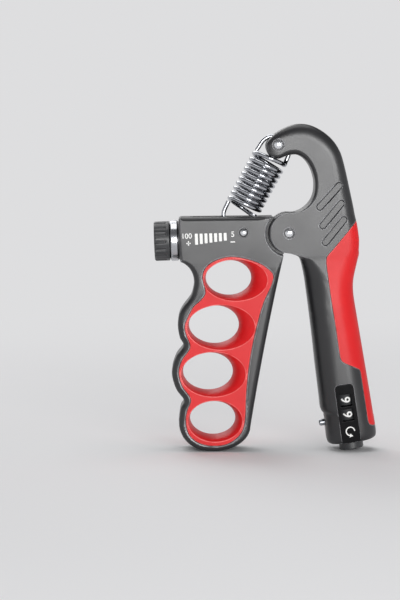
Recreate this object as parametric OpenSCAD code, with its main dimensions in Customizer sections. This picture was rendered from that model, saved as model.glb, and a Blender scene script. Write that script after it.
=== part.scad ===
// Adjustable spring hand gripper with a two-digit repetition counter.
// X points to the palm side, Y away from the viewer, Z up; the part stands on z = 0.

/* [Arm] */
// Thickness of the arm and of the finger handle
arm_t = 22; // [21:0.5:24]
// Height of the arm at the knob end
arm_h = 20; // [19.6:0.2:21]
// Distance from the pivot to the knob end of the arm
arm_len = 52.4; // [51:0.2:54]
// Rise of the arm towards the pivot, in degrees
arm_tilt = 2.2; // [1.5:0.1:3]
// Drop of the adjusting screw below the drawing origin
screw_drop = 1.1; // [0.8:0.1:1.4]
// Width of the open channel along the arm
channel_w = 8.6; // [8.6:0.1:9.2]

/* [Adjuster] */
// Outer diameter of the adjusting screw
screw_d = 5; // [4.6:0.1:5.2]
// Advance of the carriage for one turn of the knob
screw_pitch = 2; // [1.5:0.25:2]
// Turns of the knob from the light end to the heavy end
knob_turns = 7; // [5:1:7]
// Diameter of the knob
knob_d = 19; // [17:0.5:20]
// Length of the knob
knob_len = 7.6; // [7:0.2:9]
// Number of grooves round the knob
knob_grooves = 16; // [12:1:18]
// Diameter of the collar behind the knob
collar_d = 19.6; // [18:0.2:20]
// Length of the collar
collar_len = 3.9; // [3:0.1:5]
// Length of the carriage along the screw
carriage_len = 7.6; // [7:0.1:8]
// Distance from the drawing origin to the carriage pin at the light end
carriage_x = 25.8; // [25.6:0.1:26.4]
// Height of the carriage pin above the screw
carriage_pin_z = 7.2; // [7.1:0.1:7.4]

/* [Finger grip] */
// Width of the two middle finger holes at their waist
hole_w = 24; // [22:0.5:24.5]
// Height of the two middle finger holes at their waist
hole_h = 18.6; // [17:0.2:19]
// Size of the first and last hole against the middle ones
end_hole_scale = 0.91; // [0.85:0.01:0.94]
// Spacing of the finger holes
finger_pitch = 22.6; // [22.4:0.1:24]
// Drop of the first finger hole below the drawing origin
first_hole_drop = 20.9; // [20.9:0.1:22]
// Distance of the first finger hole from the drawing origin
finger_x_1 = 28.8; // [28:0.2:29.6]
// Distance of the second finger hole from the drawing origin
finger_x_2 = 35.8; // [35:0.2:36.6]
// Distance of the third finger hole from the drawing origin
finger_x_3 = 38.7; // [38.2:0.1:39.4]
// Distance of the fourth finger hole from the drawing origin
finger_x_4 = 36.4; // [36:0.2:37]
// Wall between a finger hole and the outer edge of the handle
outer_wall = 5.3; // [5:0.1:6]
// Width of the black rim round the red insert
frame_wall = 3.3; // [3:0.1:3.6]
// Depth of the notches between the finger bulges
notch_depth = 4.1; // [3:0.1:4.4]

/* [Palm handle] */
// Thickness of the hook and of the pivot boss
palm_t = 22; // [21:0.5:23]
// Thickness of the palm grip
grip_t = 24.8; // [24:0.2:26]
// Lean of the palm grip from the vertical, in degrees
grip_tilt = 8.3; // [8:0.1:8.6]
// Radius of the pivot boss
boss_r = 9.8; // [9.4:0.1:10]
// Thickness of the red palm pad
pad_t = 1.8; // [1.4:0.1:1.9]
// Width of the three decorative slots
slot_w = 3.2; // [2.6:0.1:3.6]
// Depth of the three decorative slots
slot_depth = 0.9; // [0.5:0.1:1.5]

/* [Pins] */
// Diameter of the pivot pin
pivot_pin_d = 4.2; // [3.8:0.1:4.6]
// Diameter of the hook pin
hook_pin_d = 4.4; // [4:0.1:4.6]
// Diameter of the carriage pin
carriage_pin_d = 3.2; // [2.8:0.1:3.2]
// Head diameter of the tail screws
tail_head_d = 3.8; // [3.4:0.1:4]

/* [Spring] */
// Diameter of the spring wire
wire_d = 2; // [1.8:0.05:2]
// Mean diameter of the coil
coil_d = 14.4; // [13.8:0.1:14.6]
// Number of coil turns
coil_turns = 9.5; // [8.5:1:9.5]
// Mean radius of the two end loops
loop_r = 7; // [6.8:0.1:7.1]

/* [Counter] */
// Radius of a digit wheel
wheel_r = 8.4; // [8:0.1:8.4]
// Width of a digit wheel
wheel_w = 5.2; // [4.8:0.1:5.4]
// Spacing of the two digit wheels
wheel_pitch = 7.1; // [6.8:0.1:7.2]
// Height of the units wheel above the handle end
units_z = 14.3; // [14.2:0.1:14.6]
// Diameter of the reset shaft
shaft_d = 2.8; // [2.4:0.1:3]
// Diameter of the reset knob
reset_d = 11.6; // [10:0.2:12]
// Diameter of the trigger button
trigger_d = 3.2; // [2.8:0.1:3.4]
// Stroke of the trigger button
trigger_stroke = 2.2; // [1.5:0.1:2.4]
// Width of the window plate
plate_w = 8.8; // [8:0.1:9]
// Length of the window plate
plate_len = 28; // [27:0.5:28.5]

/* [Hidden] */
$fn = 48;
// Running gap and press gap between fitted pieces
fit = 0.05;
seat = 0.02;
stations = 2;
corner_steps = 4;

// Pins and axes in the drawing frame, as [x, z]
pivot = [0, 0.8];
hook = [-5.3, 42.9];
carriage_pin_at = [
    -carriage_x * cos(arm_tilt) - carriage_pin_z * sin(arm_tilt),
    carriage_pin_z * cos(arm_tilt) - carriage_x * sin(arm_tilt) - screw_drop
];
counter_at = [30.35, -100.25];
counter_y = -2;

// Finger holes as [x, z, half width, half height, flare to the palm side]
holes = [
    [-finger_x_1, -first_hole_drop, hole_w * end_hole_scale / 2, hole_h * end_hole_scale / 2, 7.5],
    [-finger_x_2, -first_hole_drop - finger_pitch, hole_w / 2, hole_h / 2, 7.5],
    [-finger_x_3, -first_hole_drop - 2 * finger_pitch, hole_w / 2, hole_h / 2, 6],
    [-finger_x_4, -first_hole_drop - 3 * finger_pitch, hole_w * end_hole_scale / 2,
        hole_h * end_hole_scale / 2, 3.2]
];
bottom_z = holes[3][1] - 15.5;
arm_half = arm_t / 2;
rim = 3.4;
insert_sink = 0.3;
mouth_slope = 70;

// Along the adjusting screw, measured from the drawing origin
bush_r = 4.4;
bush_len = 6;
bush_proud = 0.2;
collar_gap = 0.5;
knob_gap = 0.1;
screw_head = 1.5;
journal_r = 1.6;
journal_from = 24;
journal_to = 15;
arm_rise = 1.3;
channel_to = 14.6;
channel_floor = -6;
tail_len = 8.9;
tail_h = 11.4;
tail_slot = 3.8;
tail_slot_floor = 2.6;
tail_screw_at = [-21.7, 0, 3];
tail_screw_r = 1;
tail_head_t = 1.5;
carriage_h = 15;
carriage_floor = -5.4;
carriage_nose = 2.1;
carriage_gap = 0.2;
loop_gap = 0.5;
loop_floor = 2.4;

// Across the pivot
tongue_r = 8.8;
tongue_half = 4.2;
arm_gap = 1.2;
bush_wall = 1.2;
washer_r = 6.5;
washer_t = 0.5;
fork_half = tongue_half + washer_t + 0.1;
fork_r = boss_r + 0.4;
pin_sink = 0.2;
pin_crown = 0.6;
pin_ring = 0.35;
pin_ring_depth = 0.8;

// Along the counter shaft, measured from the end of the handle
cavity_r = wheel_r + 0.8;
cavity_top = 27.4;
plate_z = 0.9;
plate_t = 1.8;
plate_proud = 0.15;
plate_corner = 1.8;
window_w = 5.6;
window_h = 6;
window_room = 0.4;
cap_z = 0.7;
cap_t = 1.7;
bearing_z = 25.2;
bearing_t = 2;
ratchet_z = 8.4;
ratchet_r = 3.8;
spacer_r = 2.1;
shaft_from = -1.28;
shaft_to = 27.02;
reset_from = -3.1;
reset_to = 0.2;
reset_edge = 0.5;
reset_head_r = 1.9;
reset_head_t = 0.78;
reset_thread_r = 0.8;
trigger_z = 10.9;
trigger_shoulder = 13.2;
trigger_nose = 0.6;
trigger_foot = 7.8;
trigger_arm = [1.1, 2.8, 6.4];
pawl_w = 2.2;
coil_wire_d = 0.4;
coil_mean_r = 1.1;
coil_z = 6.3;

// Where the part stands
knob_end = arm_len + collar_gap + collar_len + knob_gap + knob_len;
left_x = -knob_end * cos(arm_tilt) - knob_d / 2 * sin(arm_tilt);
right_x = 42.5;
stand_x = -(left_x + right_x) / 2;
stand_z = -bottom_z;

// Shared curves

function bend(a, b, c, d, t) =
    0.5 * (2 * b + (c - a) * t + (2 * a - 5 * b + 4 * c - d) * t * t
        + (3 * b - a - 3 * c + d) * t * t * t);

function smooth(p, n) = concat(
    [for (i = [0:len(p) - 2]) for (k = [0:n - 1])
        bend(p[max(i - 1, 0)], p[i], p[i + 1], p[min(i + 2, len(p) - 1)], k / n)],
    [p[len(p) - 1]]);

function smooth_loop(p, n) = let (m = len(p))
    [for (i = [0:m - 1]) for (k = [0:n - 1])
        bend(p[(i + m - 1) % m], p[i], p[(i + 1) % m], p[(i + 2) % m], k / n)];

function unit(v) = v / norm(v);

// A closed outline moved inwards by a gap, points running clockwise
function inset(p, gap) = let (m = len(p))
    [for (i = [0:m - 1]) let (t = unit(p[(i + 1) % m] - p[(i + m - 1) % m]))
        p[i] + gap * [t[1], -t[0]]];

// Lofted solids with rounded sections

function arc(cx, cy, rx, ry, from) =
    [for (k = [0:corner_steps]) let (a = from + 90 * k / corner_steps)
        [cx + rx * cos(a), cy + ry * sin(a)]];

// A station is [x, z, x, z, half thickness, first rim, second rim, rim depth]
function section(s) = let (
    w = norm([s[2] - s[0], s[3] - s[1]]),
    t = s[4],
    ri = min(s[5], w * 0.49),
    ro = min(s[6], w * 0.49),
    rd = s[7],
    q = concat(arc(w - ro, t - rd, ro, rd, 0), arc(ri, t - rd, ri, rd, 90),
        arc(ri, rd - t, ri, rd, 180), arc(w - ro, rd - t, ro, rd, 270)))
    [for (p = q) [s[0] + (s[2] - s[0]) * p[0] / w, p[1], s[1] + (s[3] - s[1]) * p[0] / w]];

module skin(rings) {
    n = len(rings);
    m = len(rings[0]);
    points = [for (r = rings) for (p = r) p];
    sides = [for (i = [0:n - 2]) for (j = [0:m - 1]) let (k = (j + 1) % m, a = i * m, b = a + m)
        each [[a + j, a + k, b + j], [a + k, b + k, b + j]]];
    first = [for (j = [0:m - 1]) m - 1 - j];
    last = [for (j = [0:m - 1]) (n - 1) * m + j];
    polyhedron(points, concat(sides, [first, last]), convexity = 8);
}

module along_y(half) rotate([90, 0, 0]) translate([0, 0, -half]) linear_extrude(2 * half) children();

module rod_y(r, half) rotate([90, 0, 0]) cylinder(r = r, h = 2 * half, center = true);

module rod_x(r, from, to) translate([from, 0, 0]) rotate([0, 90, 0]) cylinder(r = r, h = to - from);

module stand() translate([stand_x, 0, stand_z]) children();

module at(p) translate([p[0], 0, p[1]]) children();

module on_arm() translate([0, 0, -screw_drop]) rotate([0, -arm_tilt, 0]) children();

module on_counter() translate([counter_at[0], counter_y, counter_at[1]])
    rotate([0, -grip_tilt, 0]) children();

// A dowel with crowned ends across the part
module dowel(r, half, crown) rotate([90, 0, 0]) rotate_extrude() {
    square([r, half - crown]);
    translate([0, -half + crown]) square([r, half - crown + 0.01]);
    head_crown(r, half - crown, crown);
    mirror([0, 1]) head_crown(r, half - crown, crown);
}

module head_crown(r, base, rise) intersection() {
    ball = (r * r + rise * rise) / (2 * rise);
    translate([0, base + rise - ball]) circle(r = ball);
    translate([0, base - 0.01]) square([r, rise + 0.02]);
}

// Finger handle

function apex(i) = [holes[i][0] - holes[i][2] - outer_wall, holes[i][1]];
notch_a = [(apex(1)[0] + apex(2)[0]) / 2 + notch_depth, (apex(1)[1] + apex(2)[1]) / 2 + 1.6];
notch_b = [(apex(2)[0] + apex(3)[0]) / 2 + notch_depth, (apex(2)[1] + apex(3)[1]) / 2 - 2.1];
function flank(peak, dip) = [dip[0] + 0.66 * (peak[0] - dip[0]), dip[1] + 0.42 * (peak[1] - dip[1])];

// The outer edge from the hollow under the arm to the last bulge
outer_rail = [
    apex(0) + [0, -1.2], apex(0) + [-3.6, -11.6], apex(1), flank(apex(1), notch_a), notch_a,
    flank(apex(2), notch_a), apex(2), flank(apex(2), notch_b), notch_b, flank(apex(3), notch_b),
    apex(3)
];

// The inner edge, a straight leaning line with a slight bow
function inner_x(z) = -2.7 + 0.1892 * (z + 10.1) - 0.6 * sin(180 * (z + 10.1) / (bottom_z + 20));

// Half thickness near an edge that is d away
function edge_half(d) = d >= rim ? arm_half : arm_half - rim + sqrt(rim * rim - (rim - d) * (rim - d));

function arm_station(z, inset_x, half, rise = 0) = let (s = sin(arm_tilt), c = cos(arm_tilt))
    [-(arm_len - inset_x) * c - z * s, z * c - (arm_len - inset_x) * s - screw_drop + rise,
        -2.6, z - screw_drop, half, 1, 1, 1];

function grip_station(p) = [p[0], p[1], inner_x(p[1]), p[1], arm_half, rim, rim, rim];

end_left = apex(3)[0] - holes[3][0];
end_right = inner_x(holes[3][1] - 3.3) - holes[3][0];
function end_station(a) = let (
    zl = holes[3][1] - 1.3 + (bottom_z - holes[3][1] + 1.3) * sin(a),
    zr = holes[3][1] - 3.3 + (bottom_z - holes[3][1] + 3.3) * sin(a))
    [holes[3][0] + end_left * pow(cos(a), 0.87), zl, holes[3][0] + end_right * cos(a), zr,
        edge_half(zl - bottom_z), rim, rim, rim * 0.999];

finger_stations = concat(
    [arm_station(arm_h / 2, 1, arm_half - 1, arm_rise),
        arm_station(arm_h / 2 - 0.3, 0.3, arm_half - 0.3, arm_rise),
        arm_station(arm_h / 2 - 1, 0, arm_half, arm_rise), arm_station(-arm_h / 2 + 1, 0, arm_half)],
    smooth(concat(
        [[-51.6, -13.3, -2.6, -11, arm_half, 1.5, 1.5, 1.5],
            [-48.4, -14.8, inner_x(-14), -14, arm_half, 2.5, 2.5, 2.5]],
        [for (p = outer_rail) grip_station(p)]), stations),
    [for (a = [14, 30, 45, 58, 69, 78, 85]) end_station(a)]);

// The opening for the red insert
function inner_wall(z) = 2.4 + 3.6 * max(0, sin(180 * (z + 14) / (bottom_z + 24)));
rail_end = len(outer_rail) - 1;
function rail_side(i) = let (run = outer_rail[min(i + 1, rail_end)] - outer_rail[max(i - 1, 0)])
    [-run[1], run[0]] / norm(run);
// The notch between the first two holes, out from the first hole's side and up from its middle
first_notch = [[1.6, 0.7], [0.2, -6.5], [2.5, -10.3], [5.9, -13.5]];
window_rail = concat(
    [for (p = first_notch) [holes[0][0] - holes[0][2] - p[0], holes[0][1] + p[1]]],
    [for (i = [2:rail_end]) outer_rail[i] + frame_wall * rail_side(i)],
    [[holes[3][0] - 11.2, bottom_z + 9.2], [holes[3][0] - 7.2, bottom_z + 4.6],
        [holes[3][0] - 0.6, bottom_z + 2.7], [holes[3][0] + 7.3, bottom_z + 3.8],
        [holes[3][0] + 13.4, bottom_z + 8.6]],
    [for (i = [3:-1:1]) for (k = [0, 0.5]) let (z = holes[i][1] + k * finger_pitch)
        [inner_x(z) - inner_wall(z), z]],
    [[inner_x(holes[0][1]) - 2.4, holes[0][1]], [-10.8, holes[0][1] + 5.3],
        [-18, holes[0][1] + 8.8], [holes[0][0] + 1.5, holes[0][1] + 10.5],
        [holes[0][0] - 6, holes[0][1] + 8.8], [holes[0][0] - 10.8, holes[0][1] + 5.4]]);
window_outline = smooth_loop(window_rail, 3);

module window(gap, half) along_y(half) polygon(
    [for (p = inset([for (i = [len(window_outline) - 1:-1:0]) window_outline[i]], gap)) [p[0], p[1]]]);

// Flared finger hole, narrowest half way through
module finger_hole(h) {
    half = arm_half - insert_sink;
    rings = [for (j = [-5:5]) let (a = mouth_slope * j / 5, y = half * sin(a) / sin(mouth_slope),
            e = (1 - cos(a)) / (1 - cos(mouth_slope)), y_end = abs(j) == 5 ? sign(j) * 1 : 0)
        [for (k = [0:27]) let (b = 360 * k / 28)
            [h[0] + (h[4] - 0.8) / 2 * e + (h[2] + (h[4] + 0.8) / 2 * e) * cos(b), y + y_end,
                h[1] - 0.7 * e + (h[3] + 1.4 * e) * sin(b)]]];
    skin(rings);
}

module finger_handle() color("#1b1b1d") stand() difference() {
    union() {
        difference() {
            skin([for (s = finger_stations) section(s)]);
            for (side = [-1, 1]) at(pivot) translate([0, side * (arm_half + tongue_half), 0])
                rod_y(boss_r + arm_gap, arm_half);
            window(0, 30);
        }
        at(pivot) rod_y(tongue_r, tongue_half);
    }
    at(pivot) rod_y(pivot_pin_d / 2 + bush_wall, arm_t);
    on_arm() {
        translate([-arm_len + bush_len, -channel_w / 2, channel_floor])
            cube([arm_len - bush_len - channel_to, channel_w, 2 * arm_h]);
        rod_x(bush_r, -arm_len - 1, -arm_len + bush_len + 1);
        translate(tail_screw_at) for (side = [-1, 1]) translate([0, side * arm_half, 0]) {
            rod_y(tail_head_d / 2 + 0.3, tail_head_t);
            rod_y(tail_screw_r + 0.25, arm_half);
        }
    }
}

module finger_insert() color("#b3242b") stand() difference() {
    window(fit, arm_half - insert_sink);
    for (h = holes) finger_hole(h);
}

module thrust_bush() color("#b08d57") stand() on_arm() difference() {
    rod_x(bush_r - seat, -arm_len - bush_proud, -arm_len + bush_len);
    rod_x(screw_d / 2 + fit, -arm_len - 1, -arm_len + bush_len + 1);
}

module tail_block() color("#8a8d90") stand() on_arm() difference() {
    translate([-channel_to - tail_len, -channel_w / 2 + fit, channel_floor])
        cube([tail_len, channel_w - 2 * fit, tail_h]);
    translate([-arm_len, -tail_slot / 2, tail_slot_floor]) cube([arm_len, tail_slot, tail_h]);
    rod_x(journal_r + fit, -arm_len, 0);
    translate(tail_screw_at) rod_y(tail_screw_r + seat, channel_w);
}

module tail_screws() color("#c8cbd0") stand() on_arm() for (side = [90, 270])
    translate(tail_screw_at) rotate([side, 0, 0]) rotate_extrude() {
        translate([0, tail_slot / 2 + 0.3])
            square([tail_screw_r, arm_half - tail_head_t - tail_slot / 2 - 0.3]);
        translate([0, arm_half - tail_head_t]) square([tail_head_d / 2, 0.6]);
        head_crown(tail_head_d / 2, arm_half - tail_head_t + 0.6, 0.7);
    }

module pivot_bush() color("#b08d57") stand() at(pivot) difference() {
    rod_y(pivot_pin_d / 2 + bush_wall - seat, tongue_half);
    rod_y(pivot_pin_d / 2 + fit, arm_t);
}

module pivot_washers() color("#e4e0d2") stand() at(pivot) for (side = [-1, 1])
    translate([0, side * (tongue_half + washer_t / 2), 0]) difference() {
        rod_y(washer_r, washer_t / 2);
        rod_y(pivot_pin_d / 2 + 2 * fit, washer_t);
    }

module adjust_screw() color("#9aa0a6") stand() on_arm() {
    rod_x(screw_d / 2, -knob_end + screw_head, -journal_from);
    rod_x(journal_r, -journal_from - 0.01, -journal_to);
}

module adjust_knob() color("#222326") stand() on_arm() difference() {
    translate([-knob_end, 0, 0]) rotate([0, 90, 0]) rotate_extrude() {
        square([knob_d / 2 - 1, knob_len]);
        translate([0, 1]) square([knob_d / 2, knob_len - 1.3]);
        translate([knob_d / 2 - 1, 1]) circle(r = 1);
    }
    rod_x(screw_d / 2 + seat, -knob_end + screw_head, 0);
    for (k = [0:knob_grooves - 1]) rotate([360 * k / knob_grooves, 0, 0])
        translate([0, 0, knob_d / 2 + 0.5]) {
            rod_x(1, -knob_end - 1, -knob_end + knob_len - 2.4);
            translate([-knob_end + knob_len - 2.4, 0, 0]) sphere(r = 1, $fn = 24);
        }
}

module knob_collar() color("#d5d8dc") stand() on_arm() difference() {
    translate([-arm_len - collar_gap - collar_len, 0, 0]) rotate([0, 90, 0]) rotate_extrude() {
        square([collar_d / 2 - 0.4, collar_len]);
        translate([0, 0.4]) square([collar_d / 2, collar_len - 0.8]);
    }
    rod_x(screw_d / 2 + seat, -knob_end, 0);
}

module carriage() color("#5d6064") stand() on_arm() difference() {
    translate([-carriage_x - carriage_len + carriage_nose, -channel_w / 2 + carriage_gap, carriage_floor])
        cube([carriage_len, channel_w - 2 * carriage_gap, carriage_h]);
    translate([-arm_len, -wire_d / 2 - loop_gap, loop_floor])
        cube([arm_len, wire_d + 2 * loop_gap, carriage_h]);
    rod_x(screw_d / 2 + fit, -arm_len, 0);
    translate([-carriage_x, 0, carriage_pin_z]) rod_y(carriage_pin_d / 2 + seat, channel_w);
}

module carriage_pin() color("#c8cbd0") stand() at(carriage_pin_at) rod_y(carriage_pin_d / 2,
    channel_w / 2 - carriage_gap);

// Extension spring between the hook pin and the carriage pin

spring_dir = unit(hook - carriage_pin_at);
spring_side = [spring_dir[1], -spring_dir[0]];
top_loop = hook - spring_dir * (loop_r - wire_d / 2 - hook_pin_d / 2 - 0.3);
low_loop = carriage_pin_at + spring_dir * (loop_r - wire_d / 2 - carriage_pin_d / 2 - 0.3);
spring_mid = (top_loop + low_loop) / 2;
coil_half = norm(top_loop - low_loop) / 2 - 6.2;
coil_r = coil_d / 2;

// One half of the centre line as [across, y, along], from the middle to the top loop
function coil_point(a) = let (b = a - 180 * coil_turns)
    [coil_r * cos(b), coil_r * sin(b), coil_half * a / (180 * coil_turns)];
upper_line = concat(
    [for (k = [1:floor((180 * coil_turns - 80) / 45)]) coil_point(45 * k)],
    [[coil_r * cos(45), -coil_r * sin(45), coil_half + 0.2], [coil_r - 0.3, -1.9, coil_half + 1.4]],
    [for (a = [-20:15:190]) [loop_r * cos(a), 0, coil_half + 6.2 + loop_r * sin(a)]],
    [[loop_r * cos(190) - wire_d * sin(190), 0,
        coil_half + 6.2 + loop_r * sin(190) + wire_d * cos(190)]]);
lower_line = [for (i = [len(upper_line) - 1:-1:0])
    [-upper_line[i][0], upper_line[i][1], -upper_line[i][2]]];
spring_line = [for (p = concat(lower_line, [coil_point(0)], upper_line))
    [spring_mid[0] + p[0] * spring_side[0] + p[2] * spring_dir[0], p[1],
        spring_mid[1] + p[0] * spring_side[1] + p[2] * spring_dir[1]]];
spring_gap = min([for (i = [0:len(spring_line) - 7]) for (j = [i + 6:len(spring_line) - 1])
    norm(spring_line[i] - spring_line[j])]) - wire_d;
echo(spring_gap = spring_gap);

function tangents(p) = [for (i = [0:len(p) - 1])
    unit(p[min(i + 1, len(p) - 1)] - p[max(i - 1, 0)])];

// Cross directions carried along a line without twist
function carry(t, n, i = 0) = i >= len(t) ? []
    : let (m = unit(n - t[i] * (n * t[i]))) concat([m], carry(t, m, i + 1));

module tube(p, r, start) {
    t = tangents(p);
    n = carry(t, start);
    skin([for (i = [0:len(p) - 1]) let (b = cross(t[i], n[i]))
        [for (k = [0:5]) p[i] + r * (cos(60 * k) * n[i] - sin(60 * k) * b)]]);
}

module spring() color("#d5d8dc") stand() tube(spring_line, wire_d / 2, [0, 1, 0]);

// Palm handle

flat_half = palm_t / 2 - 0.05;
grip_half = grip_t / 2;

// Stations from the hook tip to the end of the grip
palm_stations = smooth([
    [-10.6, 39.8, -11.1, 42.4, flat_half - 2, 1, 1, 2.2],
    [-8.6, 37.1, -9.9, 45.2, flat_half - 0.6, 2, 3, 3],
    [-5.2, 36.2, -6.6, 48.2, flat_half, 2, 4, 3],
    [-1.2, 37.6, -1.6, 51, flat_half, 2, 4.5, 3.5],
    [3, 38.2, 4.2, 52.8, flat_half, 2, 4.5, 4],
    [6.6, 36.6, 10, 52.1, flat_half, 2, 4.5, 4],
    [9.4, 33.4, 15.9, 49.2, flat_half, 2, 4.5, 4],
    [11.3, 29.2, 20.9, 44.8, flat_half, 2, 4.5, 4],
    [12.2, 24.6, 24.4, 39.2, flat_half, 2, 4.5, 4],
    [11.8, 19.4, 26.6, 31.8, flat_half, 2, 4.5, 4],
    [9.8, 15.2, 28.6, 23, flat_half, 2, 4.5, 4],
    [6.2, 11.9, 30.6, 13.8, flat_half, 2, 4.5, 4],
    [3.2, 9.2, 32.3, 5.8, flat_half, 2, 5, 4],
    [2.4, 1, 33.6, -2.2, flat_half, 2, 6, 5],
    [3, -7, 33.6, -9.4, flat_half, 2, 7, 6],
    [5.6, -12, 32.3, -15.2, flat_half, 3, 8, 6],
    [7.4, -19.6, 31.1, -21.4, flat_half + 0.3, 6, 9, 7],
    [8.6, -27.6, 31.1, -28, grip_half - 0.6, 9, 10, 8],
    [10, -37.8, 32.6, -37.6, grip_half, 10, 10, 9],
    [11.5, -49.8, 34.8, -50, grip_half, 10, 10, 9],
    [13.1, -64, 37.3, -64.6, grip_half, 10, 10, 9],
    [14.9, -78, 39.6, -77.8, grip_half, 10, 10, 9],
    [15.7, -84.2, 40.8, -85, grip_half, 10, 10, 9],
    [17.2, -86.8, 41.4, -88, grip_half, 10, 10, 9],
    [17.9, -92.4, 42.2, -93, grip_half, 10, 10, 9],
    [18.7, -98.6, 42.4, -96.2, grip_half - 0.2, 10, 10, 9],
    [20.4, -101.2, 41, -98.1, grip_half - 1.4, 9, 9, 8.5]
], stations);

// The grip core under the pad
function core_station(s, gap) = let (
    w = [s[0] - s[2], s[1] - s[3]],
    o = [s[2], s[3]] + unit(w) * (pad_t - gap))
    [s[2] + w[0] * 0.75, s[3] + w[1] * 0.75, o[0], o[1], s[4] - pad_t + gap, 1.5,
        s[6] - pad_t + gap, s[7] - pad_t + gap];

module grip_core(gap) skin([for (s = palm_stations)
    if (s[3] < 14 && s[3] > -95) section(core_station(s, gap))]);

pad_rail = smooth([
    [20.4, -7.4], [18.6, -9.4], [17.6, -12.2], [18.4, -19.6], [20.1, -31.6], [22.3, -45], [24, -56.4],
    [24.7, -59.3], [26.2, -61.1], [32.2, -63.8], [33.9, -64.8], [34.6, -67.5], [36.9, -82], [37.7, -87.6],
    [38.4, -90.2], [39.7, -91.4], [43, -91.9]
], stations);

module pad_region() along_y(40) polygon(concat([[60, 40.4]], pad_rail, [[60, -92.2]]));

// A slot with round ends from a to b
module pill(a, b, w, half) along_y(half) polygon(
    [for (end = [0, 1]) for (k = [0:8])
        let (turn = atan2(b[1] - a[1], b[0] - a[0]) + 90 + 180 * end + 22.5 * k)
            (end == 0 ? a : b) + w / 2 * [cos(turn), sin(turn)]]);

module boss() rotate([90, 0, 0]) translate([0, 0, -palm_t / 2]) rotate_extrude() {
    translate([0, 1.3]) square([boss_r, palm_t - 2.6]);
    square([boss_r - 1.3, palm_t]);
    translate([boss_r - 1.3, 1.3]) circle(r = 1.3);
    translate([boss_r - 1.3, palm_t - 1.3]) circle(r = 1.3);
}

plate_front = -grip_half - plate_proud - counter_y;
plate_back = plate_front + plate_t;
trigger_y = -counter_y;

// The two fitted places along the counter shaft seen through the plate
module windows(w, h) for (z = [units_z, units_z + wheel_pitch])
    translate([-w / 2, plate_front - 1, z - h / 2]) cube([w, -plate_front, h]);

// A disc that closes the counter bay, flat where it meets the plate
module bay_disc(z, t) intersection() {
    translate([0, 0, z]) cylinder(r = cavity_r - fit, h = t);
    translate([-cavity_r, plate_back + fit, z]) cube([2 * cavity_r, 2 * cavity_r, t]);
}

// A bore for a pin with a ring-shaped recess round each end
module pin_seat(d) {
    rod_y(d / 2 + seat, palm_t);
    for (side = [-1, 1]) translate([0, side * palm_t / 2, 0]) rod_y(d / 2 + pin_ring, pin_ring_depth);
}

module palm_handle() color("#1b1b1d") stand() difference() {
    union() {
        difference() {
            skin([for (s = palm_stations) section(s)]);
            pad_region();
        }
        grip_core(0);
        at(pivot) boss();
    }
    at(pivot) {
        rod_y(fork_r, fork_half);
        pin_seat(pivot_pin_d);
    }
    at(top_loop) rod_y(loop_r + wire_d / 2 + 0.6, wire_d / 2 + 0.6);
    at(hook) pin_seat(hook_pin_d);
    for (side = [-1, 1]) translate([0, side * palm_t / 2, 0]) {
        pill([14.6, 13.3], [23.7, 23.4], slot_w, slot_depth);
        pill([16, 4.4], [24.7, 15], slot_w, slot_depth);
        pill([17.3, -3.6], [26, 7.2], slot_w, slot_depth);
    }
    on_counter() {
        translate([0, 0, -cavity_r]) cylinder(r = cavity_r, h = cavity_r + cavity_top);
        translate([-plate_w / 2, plate_front - grip_t, plate_z]) cube([plate_w, grip_t + plate_t, plate_len]);
        windows(window_w + 2 * window_room, window_h + 2 * window_room);
        translate([0, trigger_y, trigger_z]) rod_x(trigger_d / 2 + fit, -grip_t, -cavity_r / 2);
    }
}

module palm_pad() color("#b3242b") stand() difference() {
    intersection() {
        skin([for (s = palm_stations) section(s)]);
        pad_region();
    }
    grip_core(fit);
}

module pivot_pin() color("#c8cbd0") stand() at(pivot)
    dowel(pivot_pin_d / 2, palm_t / 2 - pin_sink, pin_crown);

module hook_pin() color("#c8cbd0") stand() at(hook)
    dowel(hook_pin_d / 2, palm_t / 2 - pin_sink, pin_crown);

// Counter

module window_plate() color("#101113") stand() on_counter() difference() {
    translate([0, plate_back, plate_z]) rotate([90, 0, 0]) linear_extrude(plate_t) {
        translate([-plate_w / 2 + fit, 0]) square([plate_w - 2 * fit, plate_len - plate_corner - fit]);
        translate([-plate_w / 2 + plate_corner, 0]) square([plate_w - 2 * plate_corner, plate_len - fit]);
        for (side = [-1, 1])
            translate([side * (plate_w / 2 - plate_corner - fit), plate_len - plate_corner - fit])
                circle(r = plate_corner);
    }
    windows(window_w, window_h);
}

module shaft_bore() translate([0, 0, -cavity_top]) cylinder(d = shaft_d + 2 * fit, h = 3 * cavity_top);

module bearing_plate() color("#d9d6cc") stand() on_counter() difference() {
    bay_disc(bearing_z, bearing_t);
    shaft_bore();
}

module end_cap() color("#1b1b1d") stand() on_counter() difference() {
    union() {
        bay_disc(cap_z, cap_t);
        translate([-3.4, trigger_y - trigger_arm[1] / 2, cap_z + cap_t - 0.4])
            cube([trigger_arm[0], trigger_arm[1], ratchet_z - cap_z - cap_t]);
    }
    shaft_bore();
}

module units_wheel() color("#2e3033") stand() on_counter() difference() {
    union() {
        translate([0, 0, units_z - wheel_w / 2]) cylinder(r = wheel_r, h = wheel_w);
        translate([0, 0, ratchet_z]) cylinder(r = ratchet_r, h = units_z - ratchet_z, $fn = 10);
    }
    shaft_bore();
}

module tens_wheel() color("#2e3033") stand() on_counter() difference() {
    translate([0, 0, units_z + wheel_pitch - wheel_w / 2]) cylinder(r = wheel_r, h = wheel_w);
    shaft_bore();
}

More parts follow.
